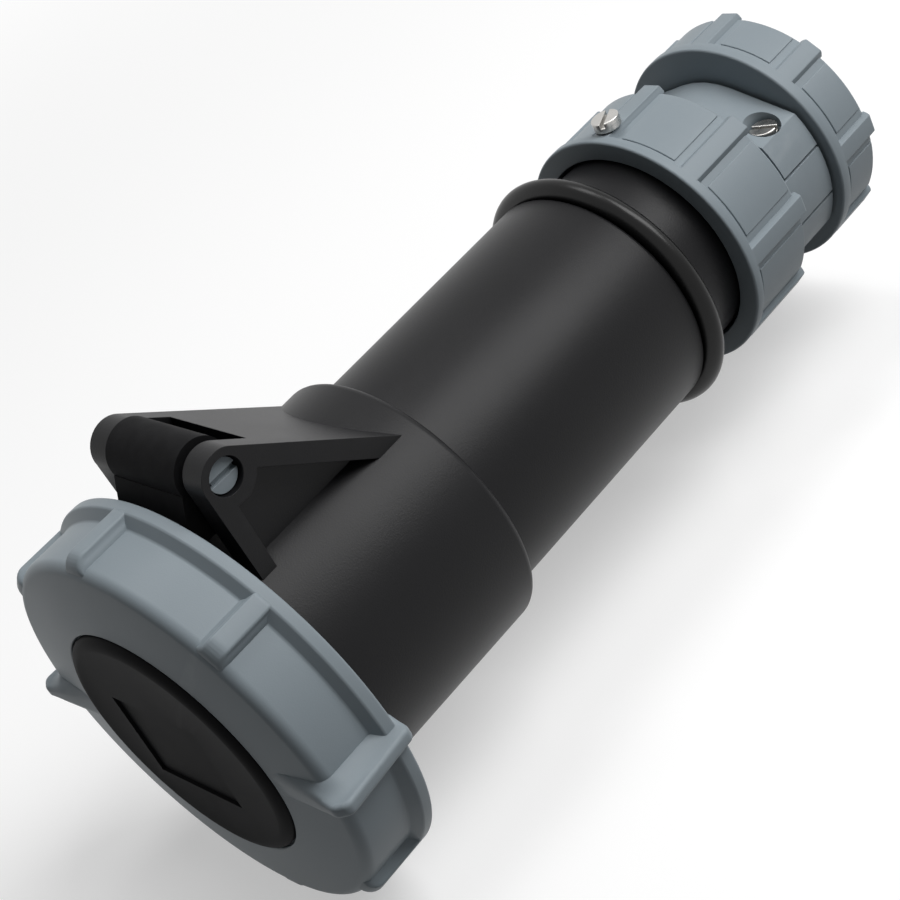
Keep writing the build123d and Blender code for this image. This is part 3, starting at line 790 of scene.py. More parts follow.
@dataclass
class LockingRing:
    """The blue-grey ring with its ribs, wings and inner lugs.

    Attributes:
        front_x: the front face beside the cap.
        face_fall: how far that face slants back to the drum.
        back_x: the inside of the front wall.
        seat_x: the seat under the cap's rim.
        hole_radius: the hole over the lid's hub.
        seat_radius: the recess for the cap.
        drum_radius: the panels between the ribs.
        rim_radius: the rear rim and the ribs.
        inner_radius: inside the drum.
        rim_start_x: where the rim begins.
        rim_slant: the slant in front of the rim.
        rim_end_x: the rear face.
        rib_half_width: half a rib's width.
        wing_radius: the wings' outer radius.
        wing_half_width: half a wing's thickness.
        wing_turn: how far the wings stand round from the ribs' even places, in degrees.
        corner_radius: the round between front face and drum.
        lug_radius: inner radius of the two lugs.
        lug_half_angle: how far a lug reaches each way, in degrees.
    """

    front_x: float = -9.2
    face_fall: float = 2.25
    back_x: float = -6.3
    seat_x: float = -7.8
    hole_radius: float = 30.0
    seat_radius: float = 33.7
    drum_radius: float = 52.6
    rim_radius: float = 55.2
    inner_radius: float = 49.8
    rim_start_x: float = 9.6
    rim_slant: float = 2.2
    rim_end_x: float = 12.9
    rib_half_width: float = 2.7
    wing_radius: float = 59.4
    wing_half_width: float = 1.75
    wing_turn: float = -0.8
    corner_radius: float = 3.0
    lug_radius: float = 43.4
    lug_half_angle: float = 8.0

    def height(self, x: float, radius: float) -> float:
        """How far a point stands over the drum or its front face.

        Args:
            x: its place along the axis.
            radius: its distance from the axis.

        Returns:
            The height, below 0 inside.
        """
        share = (radius - self.seat_radius) / (self.drum_radius - self.seat_radius)
        face_x = self.front_x + self.face_fall * share
        deep_x, deep_radius = face_x + self.corner_radius - x, radius - self.drum_radius + self.corner_radius
        if deep_x > 0 and deep_radius > 0:
            return sqrt(deep_x ** 2 + deep_radius ** 2) - self.corner_radius
        return max(radius - self.drum_radius, face_x - x)

    def drum(self) -> Solid:
        """The turned drum.

        Returns:
            The closed mesh.
        """
        corner_x = self.front_x + self.face_fall
        section = [(self.front_x, self.seat_radius), (corner_x, self.drum_radius),
                   (self.rim_start_x - self.rim_slant, self.drum_radius), (self.rim_start_x, self.rim_radius),
                   (self.rim_end_x, self.rim_radius), (self.rim_end_x, self.inner_radius),
                   (self.back_x, self.inner_radius), (self.back_x, self.hole_radius),
                   (self.seat_x, self.hole_radius), (self.seat_x, self.seat_radius)]
        return turned(section, {1: self.corner_radius, 4: 0.8, 6: 2.8}, steps=200, segments=7)

    def rib(self) -> Solid:
        """One rib on the hinge's side, from over the front corner to the rim.

        Returns:
            The closed mesh.
        """
        front, end = self.front_x + self.face_fall + 0.3, self.rim_start_x + 0.5
        low, high = self.drum_radius - 6.0, self.rim_radius - 0.02
        outline = [(front, low), (front, high), (end, high), (end, low)]
        return fin(outline, {1: 3.6}, self.rib_half_width - 0.2, edge=0.7, height=self.height, flare=0.5,
                   reach=2.3)

    def wing(self) -> Solid:
        """One finger grip on the hinge's side, before it is carried round.

        Returns:
            The closed mesh.
        """
        front, end, foot = self.front_x, self.rim_end_x, self.seat_radius + 0.4
        inner, outer = self.inner_radius, self.wing_radius
        outline = [(front + 0.2, foot), (front - 1.1, outer - 3.1), (front + 1.0, outer),
                   (end + 1.4, outer - 1.7), (end + 1.4, inner + 1.6), (end - 0.6, inner + 0.6),
                   (front + 4.2, inner + 0.6), (front + 2.5, inner - 3.0), (front + 2.5, foot)]
        return fin(outline, {1: 2.4, 2: 2.2, 3: 2.0}, self.wing_half_width, edge=1.05, height=self.height,
                   flare=1.5, reach=5.5)

    def lug(self) -> Solid:
        """One inner lug on the hinge's side, as a closed mesh."""
        points = sector(self.lug_radius, self.inner_radius + 1, radians(self.lug_half_angle))
        return end_prism(self.rim_end_x - 4.4, self.rim_end_x - 0.4, points)

    def build(self, shop: Workshop) -> None:
        """Makes the ring's pieces, with wings in place of the ribs at its sides.

        Args:
            shop: makes the pieces.
        """
        shop.piece("locking_ring", self.drum(), BLUE_GREY, Body.RING, ["bayonet_ring"], edge=0.45, steps=3)
        ribs = [turn_to(self.rib(), RING_PHASE + k * RIB_PITCH) for k in range(RIB_COUNT) if k not in (2, 6)]
        shop.piece("ring_ribs", joined(*ribs), BLUE_GREY, Body.RING, edge=0)
        for name, angle in (("near", 90.0), ("far", -90.0)):
            wing = turn_to(self.wing(), angle + RING_PHASE + self.wing_turn)
            shop.piece(f"ring_wing_{name}", wing, BLUE_GREY, Body.RING, edge=0)
            lug = turn_to(self.lug(), angle + RING_PHASE)
            shop.piece(f"ring_lug_{name}", lug, BLUE_GREY, Body.RING, edge=0.3)


@dataclass
class Cap:
    """The black cap in the middle of the ring.

    Attributes:
        back_x: its seat.
        front_x: its highest point.
        radius: its rim.
        lip: the rounded lip's depth and width.
        sink: how far the flat middle lies below the lip.
        pocket: two corners of the pocket as (y, z).
        pocket_depth: the pocket's depth.
    """

    back_x: float = -7.9
    front_x: float = -10.78
    radius: float = 33.3
    lip: Corner = (2.2, 3.2)
    sink: float = 0.3
    pocket: tuple[Corner, Corner] = ((-13.1, -15.0), (17.1, 10.6))
    pocket_depth: float = 0.9

    def build(self, shop: Workshop) -> None:
        """Makes the cap: a rounded lip round a flat middle with one shallow square pocket.

        Args:
            shop: makes the piece.
        """
        depth, width = self.lip
        lip = [(self.front_x + depth * (1 - cos(radians(a))), self.radius - width * (1 - sin(radians(a))))
               for a in range(0, 90, 10)]
        middle_x = self.front_x + self.sink
        form = turned([(self.back_x, 0.0), (self.back_x, self.radius), *reversed(lip),
                       (middle_x - 0.05, self.radius - width - 1.0), (middle_x, 0.0)], steps=200)
        (y0, z0), (y1, z1) = self.pocket
        pocket = block((self.front_x - 1, y0, z0), (middle_x + self.pocket_depth, y1, z1))
        form = combined(form, [pocket], "DIFFERENCE")
        shop.piece("front_cap", form, BLACK_CAP, Body.LID, ["front_disc"], edge=0.2, sharpest=40)


@dataclass
class Housing:
    """The black front shell with its flange, lugs and hinge bracket.

    Attributes:
        length: from the mouth to the step.
        radius: the shell's rear radius.
        flange_radius: the mouth's flange.
        bore_radius: the bore for the plug.
        rear_bore_radius: the bore behind the insert's ledge.
        flange_width: the flange's plain width.
        slant_end_x: the end of the slant behind it.
        ledge: front and rear of the insert's ledge along the axis.
        ledge_radius: the hole in that ledge.
        lug_radius: outer radius of the two lugs.
        lug_width: a lug's width along the axis.
        lug_half_angle: how far a lug reaches each way, in degrees.
        hinge_x: the pin's place along the axis.
        hinge_z: the pin's height over the axis.
        knuckle_radius: round the pin.
        knuckle_top: where the slope leaves the knuckle, as shares of its radius.
        ear_outer: outer side of an ear.
        ear_inner: inner side of an ear.
        web_outer: outer side of the recessed web.
        near_shift: how much farther out the ear on the pin head's side stands.
        strut_foot_x: where the sloping plate meets the shell.
        strut_thickness: the thickness of that plate.
        leg_foot_x: front of the upright leg's foot.
        leg_width: the leg's width.
        window_end_x: rear of the opening for the lid's arm.
        pocket_radius: the arc of an ear's pocket round the pin.
        pin_radius: the hinge pin.
        pin_head_radius: its head.
        pin_slot: half the width of the head's slot.
    """

    length: float = 73.5
    radius: float = 38.6
    flange_radius: float = 42.0
    bore_radius: float = 36.2
    rear_bore_radius: float = 35.7
    flange_width: float = 4.6
    slant_end_x: float = 7.0
    ledge: Corner = (46.0, 50.0)
    ledge_radius: float = 33.2
    lug_radius: float = 46.0
    lug_width: float = 7.9
    lug_half_angle: float = 10.0
    hinge_x: float = 24.7
    hinge_z: float = 57.8
    knuckle_radius: float = 6.6
    knuckle_top: Corner = (0.62, 0.785)
    ear_outer: float = 19.7
    ear_inner: float = 13.0
    web_outer: float = 15.5
    near_shift: float = 1.6
    strut_foot_x: float = 66.3
    strut_thickness: float = 5.1
    leg_foot_x: float = 20.1
    leg_width: float = 5.0
    window_end_x: float = 36.5
    pocket_radius: float = 8.2
    pin_radius: float = 3.0
    pin_head_radius: float = 4.1
    pin_slot: float = 0.75

    def shell(self) -> Solid:
        """The turned shell.

        Returns:
            The closed mesh.
        """
        ledge_x, ledge_end_x = self.ledge
        section = [(0.0, self.flange_radius), (self.flange_width, self.flange_radius),
                   (self.slant_end_x, self.radius - 0.4), (self.length, self.radius),
                   (self.length, self.rear_bore_radius), (ledge_end_x, self.rear_bore_radius),
                   (ledge_end_x, self.ledge_radius), (ledge_x, self.ledge_radius),
                   (ledge_x, self.bore_radius), (0.0, self.bore_radius)]
        return turned(section, {0: 0.8, 3: 2.2}, steps=180, segments=6)

    def slope(self, x: float) -> float:
        """The height of the bracket's sloping top.

        Args:
            x: the place along the axis.

        Returns:
            The height over the axis.
        """
        foot_z = sqrt(self.radius ** 2 - self.ear_outer ** 2)
        top_x = self.hinge_x + self.knuckle_radius * self.knuckle_top[0]
        top_z = self.hinge_z + self.knuckle_radius * self.knuckle_top[1]
        return top_z + (foot_z - top_z) * (x - top_x) / (self.strut_foot_x - top_x)

    def bracket(self) -> Solid:
        """The two ears, their webs and the sloping plate between them.

        Returns:
            The closed mesh.
        """
        long_x = self.length
        foot = min(self.slope(long_x), self.radius) - 2 * self.strut_thickness
        bottom = foot - self.strut_thickness
        fall = self.slope(self.hinge_x) - self.slope(self.strut_foot_x)
        steep = fall / (self.strut_foot_x - self.hinge_x)
        drop = self.strut_thickness * sqrt(1 + steep ** 2)
        front_x = self.hinge_x - self.knuckle_radius
        top_x = self.hinge_x + self.knuckle_radius * self.knuckle_top[0]
        hinge = (self.hinge_x, self.hinge_z)
        knuckle = arc(range(180, 50, -10), self.knuckle_radius, hinge)
        outline = [(self.leg_foot_x, foot), (long_x, foot), (long_x, self.slope(long_x)),
                   (top_x, self.slope(top_x)), *reversed(knuckle), (front_x + 0.1, self.hinge_z - 1)]
        inner_x = self.leg_foot_x + self.leg_width - 0.4
        hollow = [(inner_x, bottom), (inner_x - 1.2, self.hinge_z - 7.6),
                  (self.hinge_x + 8.0, self.slope(self.hinge_x + 8.0) - drop),
                  (long_x + 1, self.slope(long_x + 1) - drop), (long_x + 1, bottom)]
        round_pin = arc((-72, -61, -50, -39, -28), self.pocket_radius, hinge)
        pocket = [hollow[0], hollow[1], *round_pin, *hollow[3:]]
        near_outer = self.ear_outer + self.near_shift
        near_inner = self.ear_inner + self.near_shift
        near = Vector((self.hinge_x, -near_outer - 1, self.hinge_z))
        cutters = [
            side_prism(-near_inner, self.ear_inner, hollow, {1: 1.0, 2: 1.0}, 3),
            side_prism(-near_outer - 1, -self.web_outer - self.near_shift, pocket),
            side_prism(self.web_outer, self.ear_outer + 1, pocket),
            block((front_x - 3, -near_inner, bottom), (self.window_end_x, self.ear_inner, self.hinge_z + 14)),
            rod(near, (self.hinge_x, self.ear_outer + 1, self.hinge_z), self.pin_radius + 0.05, 32),
            rod(near, near + Vector((0, 5.7, 0)), self.pin_head_radius + 0.4, 40),
            rod((-2, 0, 0), (self.length + 20, 0, 0), self.radius - 1.0, 90),
            block((self.length - 0.8, -30, 0), (self.length + 30, 30, 60)),
        ]
        return combined(side_prism(-near_outer, self.ear_outer, outline), cutters, "DIFFERENCE")

    def lug(self) -> Solid:
        """One lug on the flange, on the hinge's side, as a closed mesh."""
        outline = sector(self.radius - 1, self.lug_radius, radians(self.lug_half_angle))
        return end_prism(0.0, self.lug_width, outline)

    def pin(self) -> Solid:
        """The hinge pin with its slotted head.

        Returns:
            The closed mesh.
        """
        head = self.ear_outer + self.near_shift - 1.4
        x, z = self.hinge_x, self.hinge_z
        shaft = rod((x, -head + 1, z), (x, self.ear_outer - 1.4, z), self.pin_radius, 32)
        cap = rod((x, -head, z), (x, -head + 3.2, z), self.pin_head_radius, 40)
        slot = block((x - 6, -head - 1, z - self.pin_slot), (x + 6, -head + 1.5, z + self.pin_slot))
        return joined(shaft, combined(cap, [slot], "DIFFERENCE"))

    def build(self, shop: Workshop) -> None:
        """Makes the housing's pieces.

        Args:
            shop: makes the pieces.
        """
        shop.piece("front_shell", self.shell(), BLACK_SHELL, Body.HOUSING, ["front_housing"], edge=0.35)
        shop.piece("hinge_bracket", self.bracket(), BLACK_SHELL, Body.HOUSING, edge=0.4, steps=2)
        for name, angle in (("lower", 135.0), ("upper", 315.0)):
            shop.piece(f"flange_lug_{name}", turn_to(self.lug(), angle), BLACK_SHELL, Body.HOUSING, edge=0.4)
        shop.piece("lid_pin", self.pin(), BLUE_GREY, Body.HOUSING, ["hinge_pin"], edge=0.25)


@dataclass
class Grip:
    """The long black tube with its narrower end and the rubber ring.

    Attributes:
        radius: the grip's radius.
        shoulder_x: where it steps down.
        end_x: the end of the narrow tube.
        narrow_radius: the narrow tube's radius.
        wall: the narrow tube's wall.
        spigot_x: front of the spigot inside the housing.
        spigot_radius: the spigot's radius.
        face_x: where the grip starts behind the housing.
        bore_radius: inside the grip.
        bumper_radius: half the height of the rubber ring's section.
        bumper_half_width: half that section's width.
    """

    radius: float = 33.5
    shoulder_x: float = 152.8
    end_x: float = 195.5
    narrow_radius: float = 29.5
    wall: float = 3.0
    spigot_x: float = 56.0
    spigot_radius: float = 35.55
    face_x: float = 73.3
    bore_radius: float = 30.1
    bumper_radius: float = 3.6
    bumper_half_width: float = 2.95

    def build(self, shop: Workshop) -> None:
        """Makes the tube and the ring.

        Args:
            shop: makes the pieces.
        """
        inner = self.narrow_radius - self.wall
        tube = [(self.spigot_x, self.bore_radius), (self.spigot_x, self.spigot_radius),
                (self.face_x, self.spigot_radius), (self.face_x, self.radius), (self.shoulder_x, self.radius),
                (self.shoulder_x, self.narrow_radius), (self.end_x, self.narrow_radius), (self.end_x, inner),
                (self.shoulder_x + self.wall, inner), (self.shoulder_x - self.wall, self.bore_radius)]
        shop.piece("grip_tube", turned(tube, {4: 1.2, 6: 1.0}), BLACK_SHELL, Body.HOUSING, ["handle"],
                   edge=0.3)
        centre_x = self.shoulder_x + self.bumper_half_width + 0.1
        centre_r = self.narrow_radius + self.bumper_radius + 0.05
        section = [(centre_x + self.bumper_half_width * cos(radians(a)),
                    centre_r + self.bumper_radius * sin(radians(a))) for a in range(0, 360, 12)]
        shop.piece("rubber_bumper", turned(section), SOFT_RUBBER, Body.HOUSING, ["bumper_ring"], edge=0)


@dataclass(frozen=True)
class RibbedDrum:
    """A drum with a plain rim, eight ribs and a low raised panel between each two.

    Attributes:
        front_x: its front.
        end_x: the ribs' rear end.
        radius: the rim's and ribs' radius.
        panel_radius: the radius between the ribs.
        rim_width: the rim's width.
        overhang: how far the ribs stand out behind.
        bore_radius: the inner radius from the front.
        inside_x: how deep that bore goes.
        hole_radius: the hole in the rear wall.
        rib_half_width: half a rib's width.
    """

    front_x: float
    end_x: float
    radius: float
    panel_radius: float
    rim_width: float
    overhang: float
    bore_radius: float
    inside_x: float
    hole_radius: float
    rib_half_width: float = 2.65

    def forms(self) -> tuple[Solid, Solid]:
        """Shapes it.

        Returns:
            The drum with its ribs, and the panels.
        """
        panel, end = self.panel_radius, self.end_x - self.overhang
        rim_x, top = self.front_x + self.rim_width, self.radius - 0.02
        section = [(self.front_x, self.radius), (rim_x, self.radius), (rim_x + 0.5, panel), (end, panel),
                   (end, self.hole_radius), (self.inside_x, self.hole_radius),
                   (self.inside_x, self.bore_radius), (self.front_x, self.bore_radius)]
        form = turned(section, {0: 0.7, 1: 0.25, 3: 1.1}, segments=4)
        outline = [(rim_x - 0.6, panel - 1.4), (rim_x - 0.6, top), (self.end_x, top),
                   (self.end_x, panel - 1.0), (end - 0.6, panel - 1.4)]
        ribs = [turn_to(fin(outline, {2: 0.7}, self.rib_half_width, edge=0.35, height=lambda x, z: z - panel,
                            flare=0.3, reach=1.2), RING_PHASE + index * RIB_PITCH)
                for index in range(RIB_COUNT)]
        half = radians(RIB_PITCH / 2) - (self.rib_half_width + 2.7) / panel
        plate = sector(panel + 0.35, panel - 1.5, half, 6)
        plates = [turn_to(end_prism(rim_x + 1.5, end - 0.9, plate), RING_PHASE + (index + 0.5) * RIB_PITCH)
                  for index in range(RIB_COUNT)]
        return joined(form, *ribs), joined(*plates)

    def build(self, shop: Workshop, name: str, panels_name: str, body: Body, node: str) -> None:
        """Makes its two pieces.

        Args:
            shop: makes the pieces.
            name: the drum's name.
            panels_name: the panels' name.
            body: the body they ride on.
            node: the CAD node that the drum replaces.
        """
        drum, panels = self.forms()
        shop.piece(name, drum, BLUE_GREY, body, [node], edge=0.35)
        shop.piece(panels_name, panels, BLUE_GREY, body, edge=0.32, steps=3)


@dataclass
class Gland:
    """The cable gland: collar, clamp, saddles, screws and nut.

    Attributes:
        collar: the collar that screws on to the grip's narrow tube.
        nut: the nut.
        neck_radius: the neck behind the collar.
        core_radius: the tube inside the clamp.
        bore_radius: the way for the cable.
        clamp_x: front of the clamp.
        clamp_end_x: rear of the clamp.
        boss_radius: the bosses at the sides.
        corner_angle: where a boss begins, in degrees from the hinge.
        flat_span: degrees between a boss and the round part of the neck.
        seam_z: half the height of the fixed bosses.
        saddle_gap: the seam between them and a saddle.
        screw_y: the clamp screws' distance from the middle.
        screw_z: the height of their seats.
        seat_radius: the recess round a clamp screw's head.
        screw_hole_radius: the hole for its thread.
        spout_radius: the threads inside the nut.
        spout_bore_radius: the spout's bore.
        spout_length: the spout's length.
        thread_pitch: from tooth to tooth of its thread.
        thread_depth: the depth of the grooves between them.
        lock_x: place of the locking screw.
    """

    collar: RibbedDrum = RibbedDrum(173.5, 199.9, 36.0, 34.5, rim_width=3.0, overhang=1.0, bore_radius=30.4,
                                    inside_x=197.3, hole_radius=17.8)
    nut: RibbedDrum = RibbedDrum(217.9, 236.3, 34.7, 33.4, rim_width=3.6, overhang=0.7, bore_radius=24.1,
                                 inside_x=233.3, hole_radius=17.0)
    neck_radius: float = 25.3
    core_radius: float = 20.4
    bore_radius: float = 17.8
    clamp_x: float = 200.9
    clamp_end_x: float = 216.7
    boss_radius: float = 32.0
    corner_angle: float = 57.7
    flat_span: float = 37.6
    seam_z: float = 7.0
    saddle_gap: float = 0.8
    screw_y: float = 22.3
    screw_z: float = 15.0
    seat_radius: float = 4.8
    screw_hole_radius: float = 2.0
    spout_radius: float = 24.0
    spout_bore_radius: float = 21.4
    spout_length: float = 14.0
    thread_pitch: float = 2.0
    thread_depth: float = 0.9
    lock_x: float = 180.2

    @property
    def clamp_middle(self) -> float:
        """The clamp screws' place along the axis."""
        return (self.clamp_x + self.clamp_end_x) / 2

    def section(self, x0: float, x1: float) -> Solid:
        """The clamp's outline as a solid: round above and below, slanting flats, round side bosses.

        Args:
            x0: its front.
            x1: its rear.

        Returns:
            The closed mesh.
        """
        flat_angle = self.corner_angle - self.flat_span
        quarter = [(self.neck_radius * sin(radians(a)), self.neck_radius * cos(radians(a)))
                   for a in (0, flat_angle / 2, flat_angle)]
        quarter += [(self.boss_radius * sin(radians(a)), self.boss_radius * cos(radians(a)))
                    for a in (self.corner_angle, 62, 66, 70, 74, 78, 82, 86, 90)]
        right = quarter + [(y, -z) for y, z in reversed(quarter[:-1])]
        left = [(-y, -z) for y, z in right[1:-1]]
        return end_prism(x0, x1, right + left)

    def saddle(self) -> Solid:
        """The upper saddle.

        Returns:
            The closed mesh.
        """
        x0, x1 = self.clamp_x + 0.1, self.clamp_end_x
        middle = self.clamp_middle
        below = block((x0 - 1, -60, -60), (x1 + 1, 60, self.seam_z + self.saddle_gap))
        cutters = [below, rod((x0 - 2, 0, 0), (x1 + 2, 0, 0), self.core_radius + 0.15, 72)]
        for y in (-self.screw_y, self.screw_y):
            cutters.append(rod((middle, y, self.screw_z), (middle, y, 40), self.seat_radius, 40))
            cutters.append(rod((middle, y, 0), (middle, y, 30), self.screw_hole_radius, 24))
        body = combined(self.section(x0, x1), cutters, "DIFFERENCE")
        half = self.bore_radius * 0.75 - 0.15
        pad = combined(rod((x0 + 0.2, 0, 0), (x1 - 0.2, 0, 0), self.core_radius + 1, 72),
                       [block((x0 - 1, -half, self.seam_z + 0.15), (x1 + 1, half, 40))], "INTERSECT")
        pad = combined(pad, [rod((x0 - 2, 0, 0), (x1 + 2, 0, 0), self.bore_radius, 72)], "DIFFERENCE")
        return joined(body, pad)

    def clamp_screws(self) -> Solid:
        """The upper saddle's two screws.

        Returns:
            The closed mesh.
        """
        middle = self.clamp_middle
        forms = []
        for y, turn in ((-self.screw_y, -75.0), (self.screw_y, 70.0)):
            screw = turn_to(CheeseHeadScrew().form(), turn, "Z")
            screw.transform(Matrix.Translation((middle, y, self.screw_z + 0.02)))
            forms.append(screw)
        return joined(*forms)

    def neck(self) -> Solid:
        """The neck, core tube and fixed bosses of the clamp.

        Returns:
            The closed mesh.
        """
        half = self.bore_radius * 0.75
        between = block((self.clamp_x - 2, -60, -self.seam_z), (self.clamp_end_x + 1, 60, self.seam_z))
        bosses = combined(self.section(self.clamp_x - 1, self.clamp_end_x), [between], "INTERSECT")
        foot = self.collar.end_x - 2
        core = rod((foot, 0, 0), (self.nut.front_x + 1, 0, 0), self.core_radius, 96)
        front = rod((foot, 0, 0), (self.clamp_x - 0.1, 0, 0), self.neck_radius, 96)
        body = combined(bosses, [core, front], "UNION")
        cutters = [rod((foot - 1, 0, 0), (self.nut.end_x, 0, 0), self.bore_radius, 96),
                   block((self.clamp_x - 0.2, -half, -30), (self.clamp_end_x + 0.2, half, 30))]
        middle = self.clamp_middle
        for y in (-self.screw_y, self.screw_y):
            cutters.append(rod((middle, y, -20), (middle, y, 20), self.screw_hole_radius, 24))
        return combined(body, cutters, "DIFFERENCE")

    def spout(self) -> Solid:
        """The threaded spout inside the nut.

        Returns:
            The closed mesh.
        """
        start, r = self.nut.front_x - 0.4, self.spout_radius
        end, low = start + self.spout_length, r - self.thread_depth
        teeth = []
        x = start + self.thread_pitch
        while x < end - self.thread_pitch:
            teeth += [(x, r), (x + 0.6, low), (x + 0.9, low), (x + 1.5, r)]
            x += self.thread_pitch
        step_x, bore, foot = self.nut.front_x + 1.0, self.spout_bore_radius, self.core_radius - 1
        section = [(start, foot), (start, r), *teeth, (end, r), (end, bore), (step_x, bore), (step_x, foot)]
        return turned(section, steps=120)

    def build(self, shop: Workshop) -> None:
        """Makes the gland's pieces.

        Args:
            shop: makes the pieces.
        """
        self.collar.build(shop, "gland_collar", "collar_panels", Body.HOUSING, "gland_body")
        shop.piece("gland_neck", self.neck(), BLUE_GREY, Body.HOUSING, edge=0.25)
        shop.piece("gland_spout", self.spout(), BLUE_GREY, Body.HOUSING, edge=0)
        for name, body, turn in (("upper", Body.UPPER_SADDLE, 0.0), ("lower", Body.LOWER_SADDLE, 180.0)):
            shop.piece(f"saddle_{name}", turn_to(self.saddle(), turn), BLUE_GREY, body, [f"{name}_clamp"],
                       edge=0.25)
            shop.piece(f"saddle_screws_{name}", turn_to(self.clamp_screws(), turn), ZINCED_STEEL, body,
                       [f"{name}_clamp_screws"], edge=0.3, steps=3)
        lock = turn_to(CheeseHeadScrew(length=6.2).form(), 25, "Z")
        lock.transform(Matrix.Rotation(radians(RING_PHASE), 4, "X")
                       @ Matrix.Translation((self.lock_x, 0, self.collar.radius + 0.3)))
        shop.piece("collar_lock_screw", lock, ZINCED_STEEL, Body.HOUSING, ["locking_screw"], edge=0.3,
                   steps=3)
        self.nut.build(shop, "ribbed_nut", "nut_panels", Body.NUT, "gland_nut")


@dataclass
class HiddenParts:
    """The pieces that keep their CAD shape and get their finish only.

    Attributes:
        finishes: CAD node to finish.
    """

    finishes: dict[str, Finish] = field(default_factory=lambda: {
        "lid": BLACK_CAP, "lid_gasket": SOFT_RUBBER, "lid_spring": ZINCED_STEEL, "disc_screws": ZINCED_STEEL,
        "contact_carrier": INSERT_MOULDING, "carrier_gasket": SOFT_RUBBER, "terminal_screws": ZINCED_STEEL,
        "line_contact_1": TURNED_BRASS, "line_contact_2": TURNED_BRASS, "line_contact_3": TURNED_BRASS,
        "neutral_contact": TURNED_BRASS, "earth_contact": TURNED_BRASS, "pilot_contact": TURNED_BRASS,
        "gland_seal": SOFT_RUBBER, "thrust_washer": BLUE_GREY,
    })

    def build(self, shop: Workshop) -> None:
        """Dresses them, one node after another."""
        for node, finish in self.finishes.items():
            shop.dress(node, finish)


# Studio


@dataclass
class Viewpoint:
    """The camera, held turned about its own line of sight as in the photograph.

    Attributes:
        place: where it stands, in millimetres.
        right: the picture's right.
        up: the picture's up.
        lens: focal length for a 36 mm sensor.
    """

    place: Point = (-127.119, -342.296, 276.412)
    right: Point = (0.61520, -0.69297, -0.37593)
    up: Point = (0.65091, 0.17743, 0.73814)
    lens: float = 78.98

    def build(self) -> None:
        """Makes the camera the scene's own."""
        data = bpy.data.cameras.new("camera")
        data.lens = self.lens
        data.sensor_width = 36.0
        data.clip_start = 0.01
        data.clip_end = 20.0
        thing = placed("camera", data)
        right = Vector(self.right).normalized()
        back = right.cross(Vector(self.up)).normalized()
        up = back.cross(right)
        turn = Matrix((right, up, back)).transposed().to_4x4()
        thing.matrix_world = Matrix.Translation(Vector(self.place) * MM) @ turn
        bpy.context.scene.camera = thing
        log.info("camera at %s", [round(v, 4) for v in thing.location])


@dataclass(frozen=True)
class Panel:
    """A soft light panel.

    Attributes:
        name: its name.
        place: its middle in metres.
        aim: the point it faces.
        size: its sides in metres.
        power: watts.
    """

    name: str
    place: Point
    aim: Point
    size: tuple[float, float]
    power: float

    def build(self) -> None:
        """Adds the light."""
        data = bpy.data.lights.new(self.name, "AREA")
        data.shape = "RECTANGLE"
        data.size, data.size_y = self.size
        data.energy = self.power
        way = Vector(self.aim) - Vector(self.place)
        turn = way.to_track_quat("-Z", "Y").to_matrix().to_4x4()
        placed(self.name, data).matrix_world = Matrix.Translation(self.place) @ turn


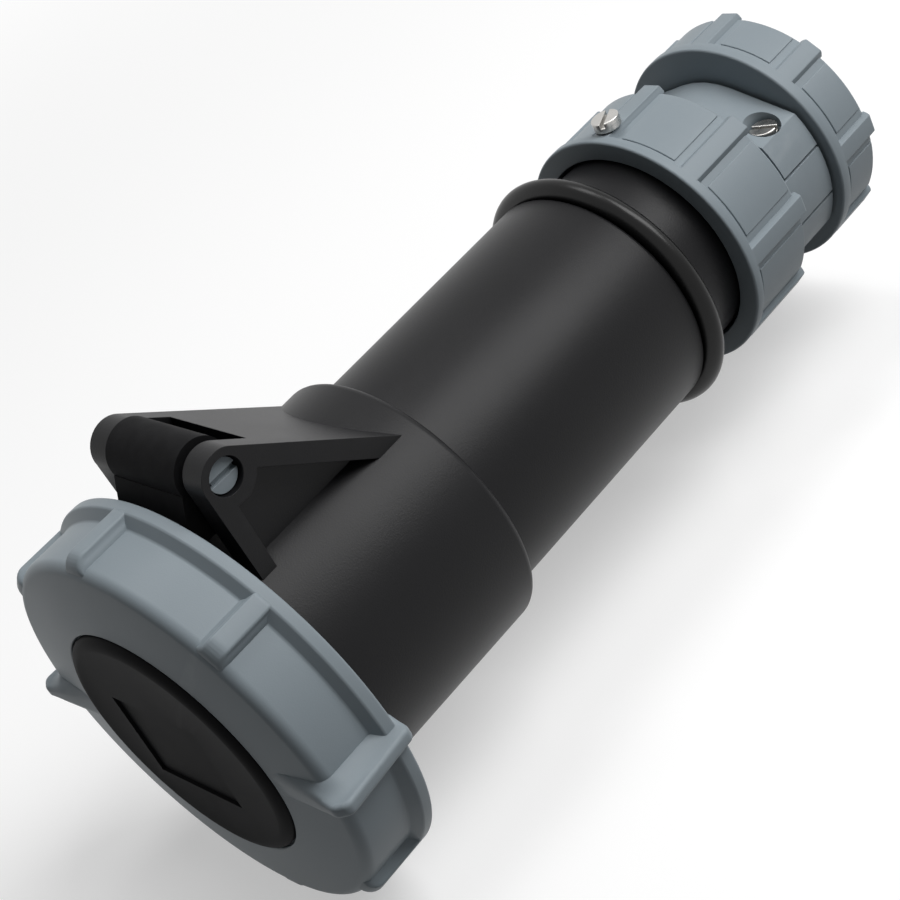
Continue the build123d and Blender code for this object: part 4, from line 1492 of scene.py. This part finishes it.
@dataclass
class Studio:
    """The floor, the world and the soft lights.

    Attributes:
        floor_z: height of the floor in millimetres.
        floor_half: half its side in metres.
        floor_colour: its own colour.
        floor_shown: the colour that the camera and reflections see.
        floor_lift: the glow added to what they see.
        floor_fade: distances in metres between which the floor turns to white.
        world_strength: the even light from all round.
        panels: the soft lights.
    """

    floor_z: float = -55.7
    floor_half: float = 3.0
    floor_colour: Colour = (0.11, 0.11, 0.11)
    floor_shown: float = 0.57
    floor_lift: float = 0.45
    floor_fade: tuple[float, float] = (0.30, 0.85)
    world_strength: float = 0.08
    panels: tuple[Panel, ...] = (
        Panel("key_panel", (0.666, -0.538, 0.981), (0.11, 0.0, 0.0), (0.7, 1.05), 16.2),
        Panel("top_panel", (0.22, 0.25, 1.0), (0.11, 0.0, 0.0), (0.5, 0.3), 3.0),
    )

    def shown_white(self, tree: Tree, shader: Socket, white: Socket, output: Socket) -> None:
        """Lets a surface or the world show pale to the camera, in reflections and through glass.

        Args:
            tree: the node tree.
            shader: what lights the scene.
            white: the pale look.
            output: where the result goes.
        """
        path = tree.nodes.new("ShaderNodeLightPath").outputs
        seen = path["Is Camera Ray"]
        for name in ("Is Glossy Ray", "Is Transmission Ray"):
            seen = calculated(tree, "MAXIMUM", seen, path[name])
        feed(tree, output, fed(tree, "MixShader", {"Fac": seen, 1: shader, 2: white}).outputs["Shader"])

    def paint(self) -> bpy.types.Material:
        """The floor's material: what the camera sees of it turns to plain white with the distance.

        Returns:
            The material.
        """
        paint = bpy.data.materials.new("floor_paint")
        paint.use_nodes = True
        tree = paint.node_tree
        shader = tree.nodes["Principled BSDF"]
        shader.inputs["Base Color"].default_value = (*self.floor_colour, 1.0)
        shader.inputs["Roughness"].default_value = 0.8
        grey = (self.floor_shown, self.floor_shown, self.floor_shown, 1.0)
        pale = fed(tree, "BsdfDiffuse", {"Color": grey}).outputs["BSDF"]
        lift = fed(tree, "Emission", {"Strength": self.floor_lift}).outputs["Emission"]
        near = fed(tree, "AddShader", {0: pale, 1: lift}).outputs["Shader"]
        far = tree.nodes.new("ShaderNodeEmission").outputs["Emission"]
        reach = fed(tree, "VectorMath", {0: tree.nodes.new("ShaderNodeTexCoord").outputs["Object"]})
        reach.operation = "LENGTH"
        low, high = self.floor_fade
        fade = fed(tree, "MapRange", {"Value": reach.outputs["Value"], "From Min": low, "From Max": high})
        fade.interpolation_type = "SMOOTHSTEP"
        whole = fed(tree, "MixShader", {"Fac": fade.outputs["Result"], 1: near, 2: far})
        self.shown_white(tree, shader.outputs["BSDF"], whole.outputs["Shader"],
                         tree.nodes["Material Output"].inputs["Surface"])
        return paint

    def build(self) -> None:
        """Makes the floor, the world and the lights."""
        scene = bpy.context.scene
        scene.view_settings.view_transform = "Standard"
        form = bmesh.new()
        bmesh.ops.create_grid(form, x_segments=2, y_segments=2, size=self.floor_half)
        form.transform(Matrix.Translation((0, 0, self.floor_z * MM)))
        floor = solid_object("floor", form)
        floor.data.materials.append(self.paint())
        world = bpy.data.worlds.new("studio")
        world.use_nodes = True
        scene.world = world
        tree = world.node_tree
        soft, white = tree.nodes["Background"], tree.nodes.new("ShaderNodeBackground")
        for node in (soft, white):
            node.inputs["Color"].default_value = (1.0, 1.0, 1.0, 1.0)
        soft.inputs["Strength"].default_value = self.world_strength
        self.shown_white(tree, soft.outputs["Background"], white.outputs["Background"],
                         tree.nodes["World Output"].inputs["Surface"])
        for panel in self.panels:
            panel.build()


def main() -> None:
    """Builds the coupler, the studio and the camera, in order."""
    shop = Workshop()
    for assembly in (Housing(), Grip(), LockingRing(), Cap(), Gland(), HiddenParts()):
        log.info("building %s", type(assembly).__name__)
        assembly.build(shop)
    Studio().build()
    Viewpoint().build()
    bpy.context.view_layer.update()


if __name__ == "__main__":
    main()
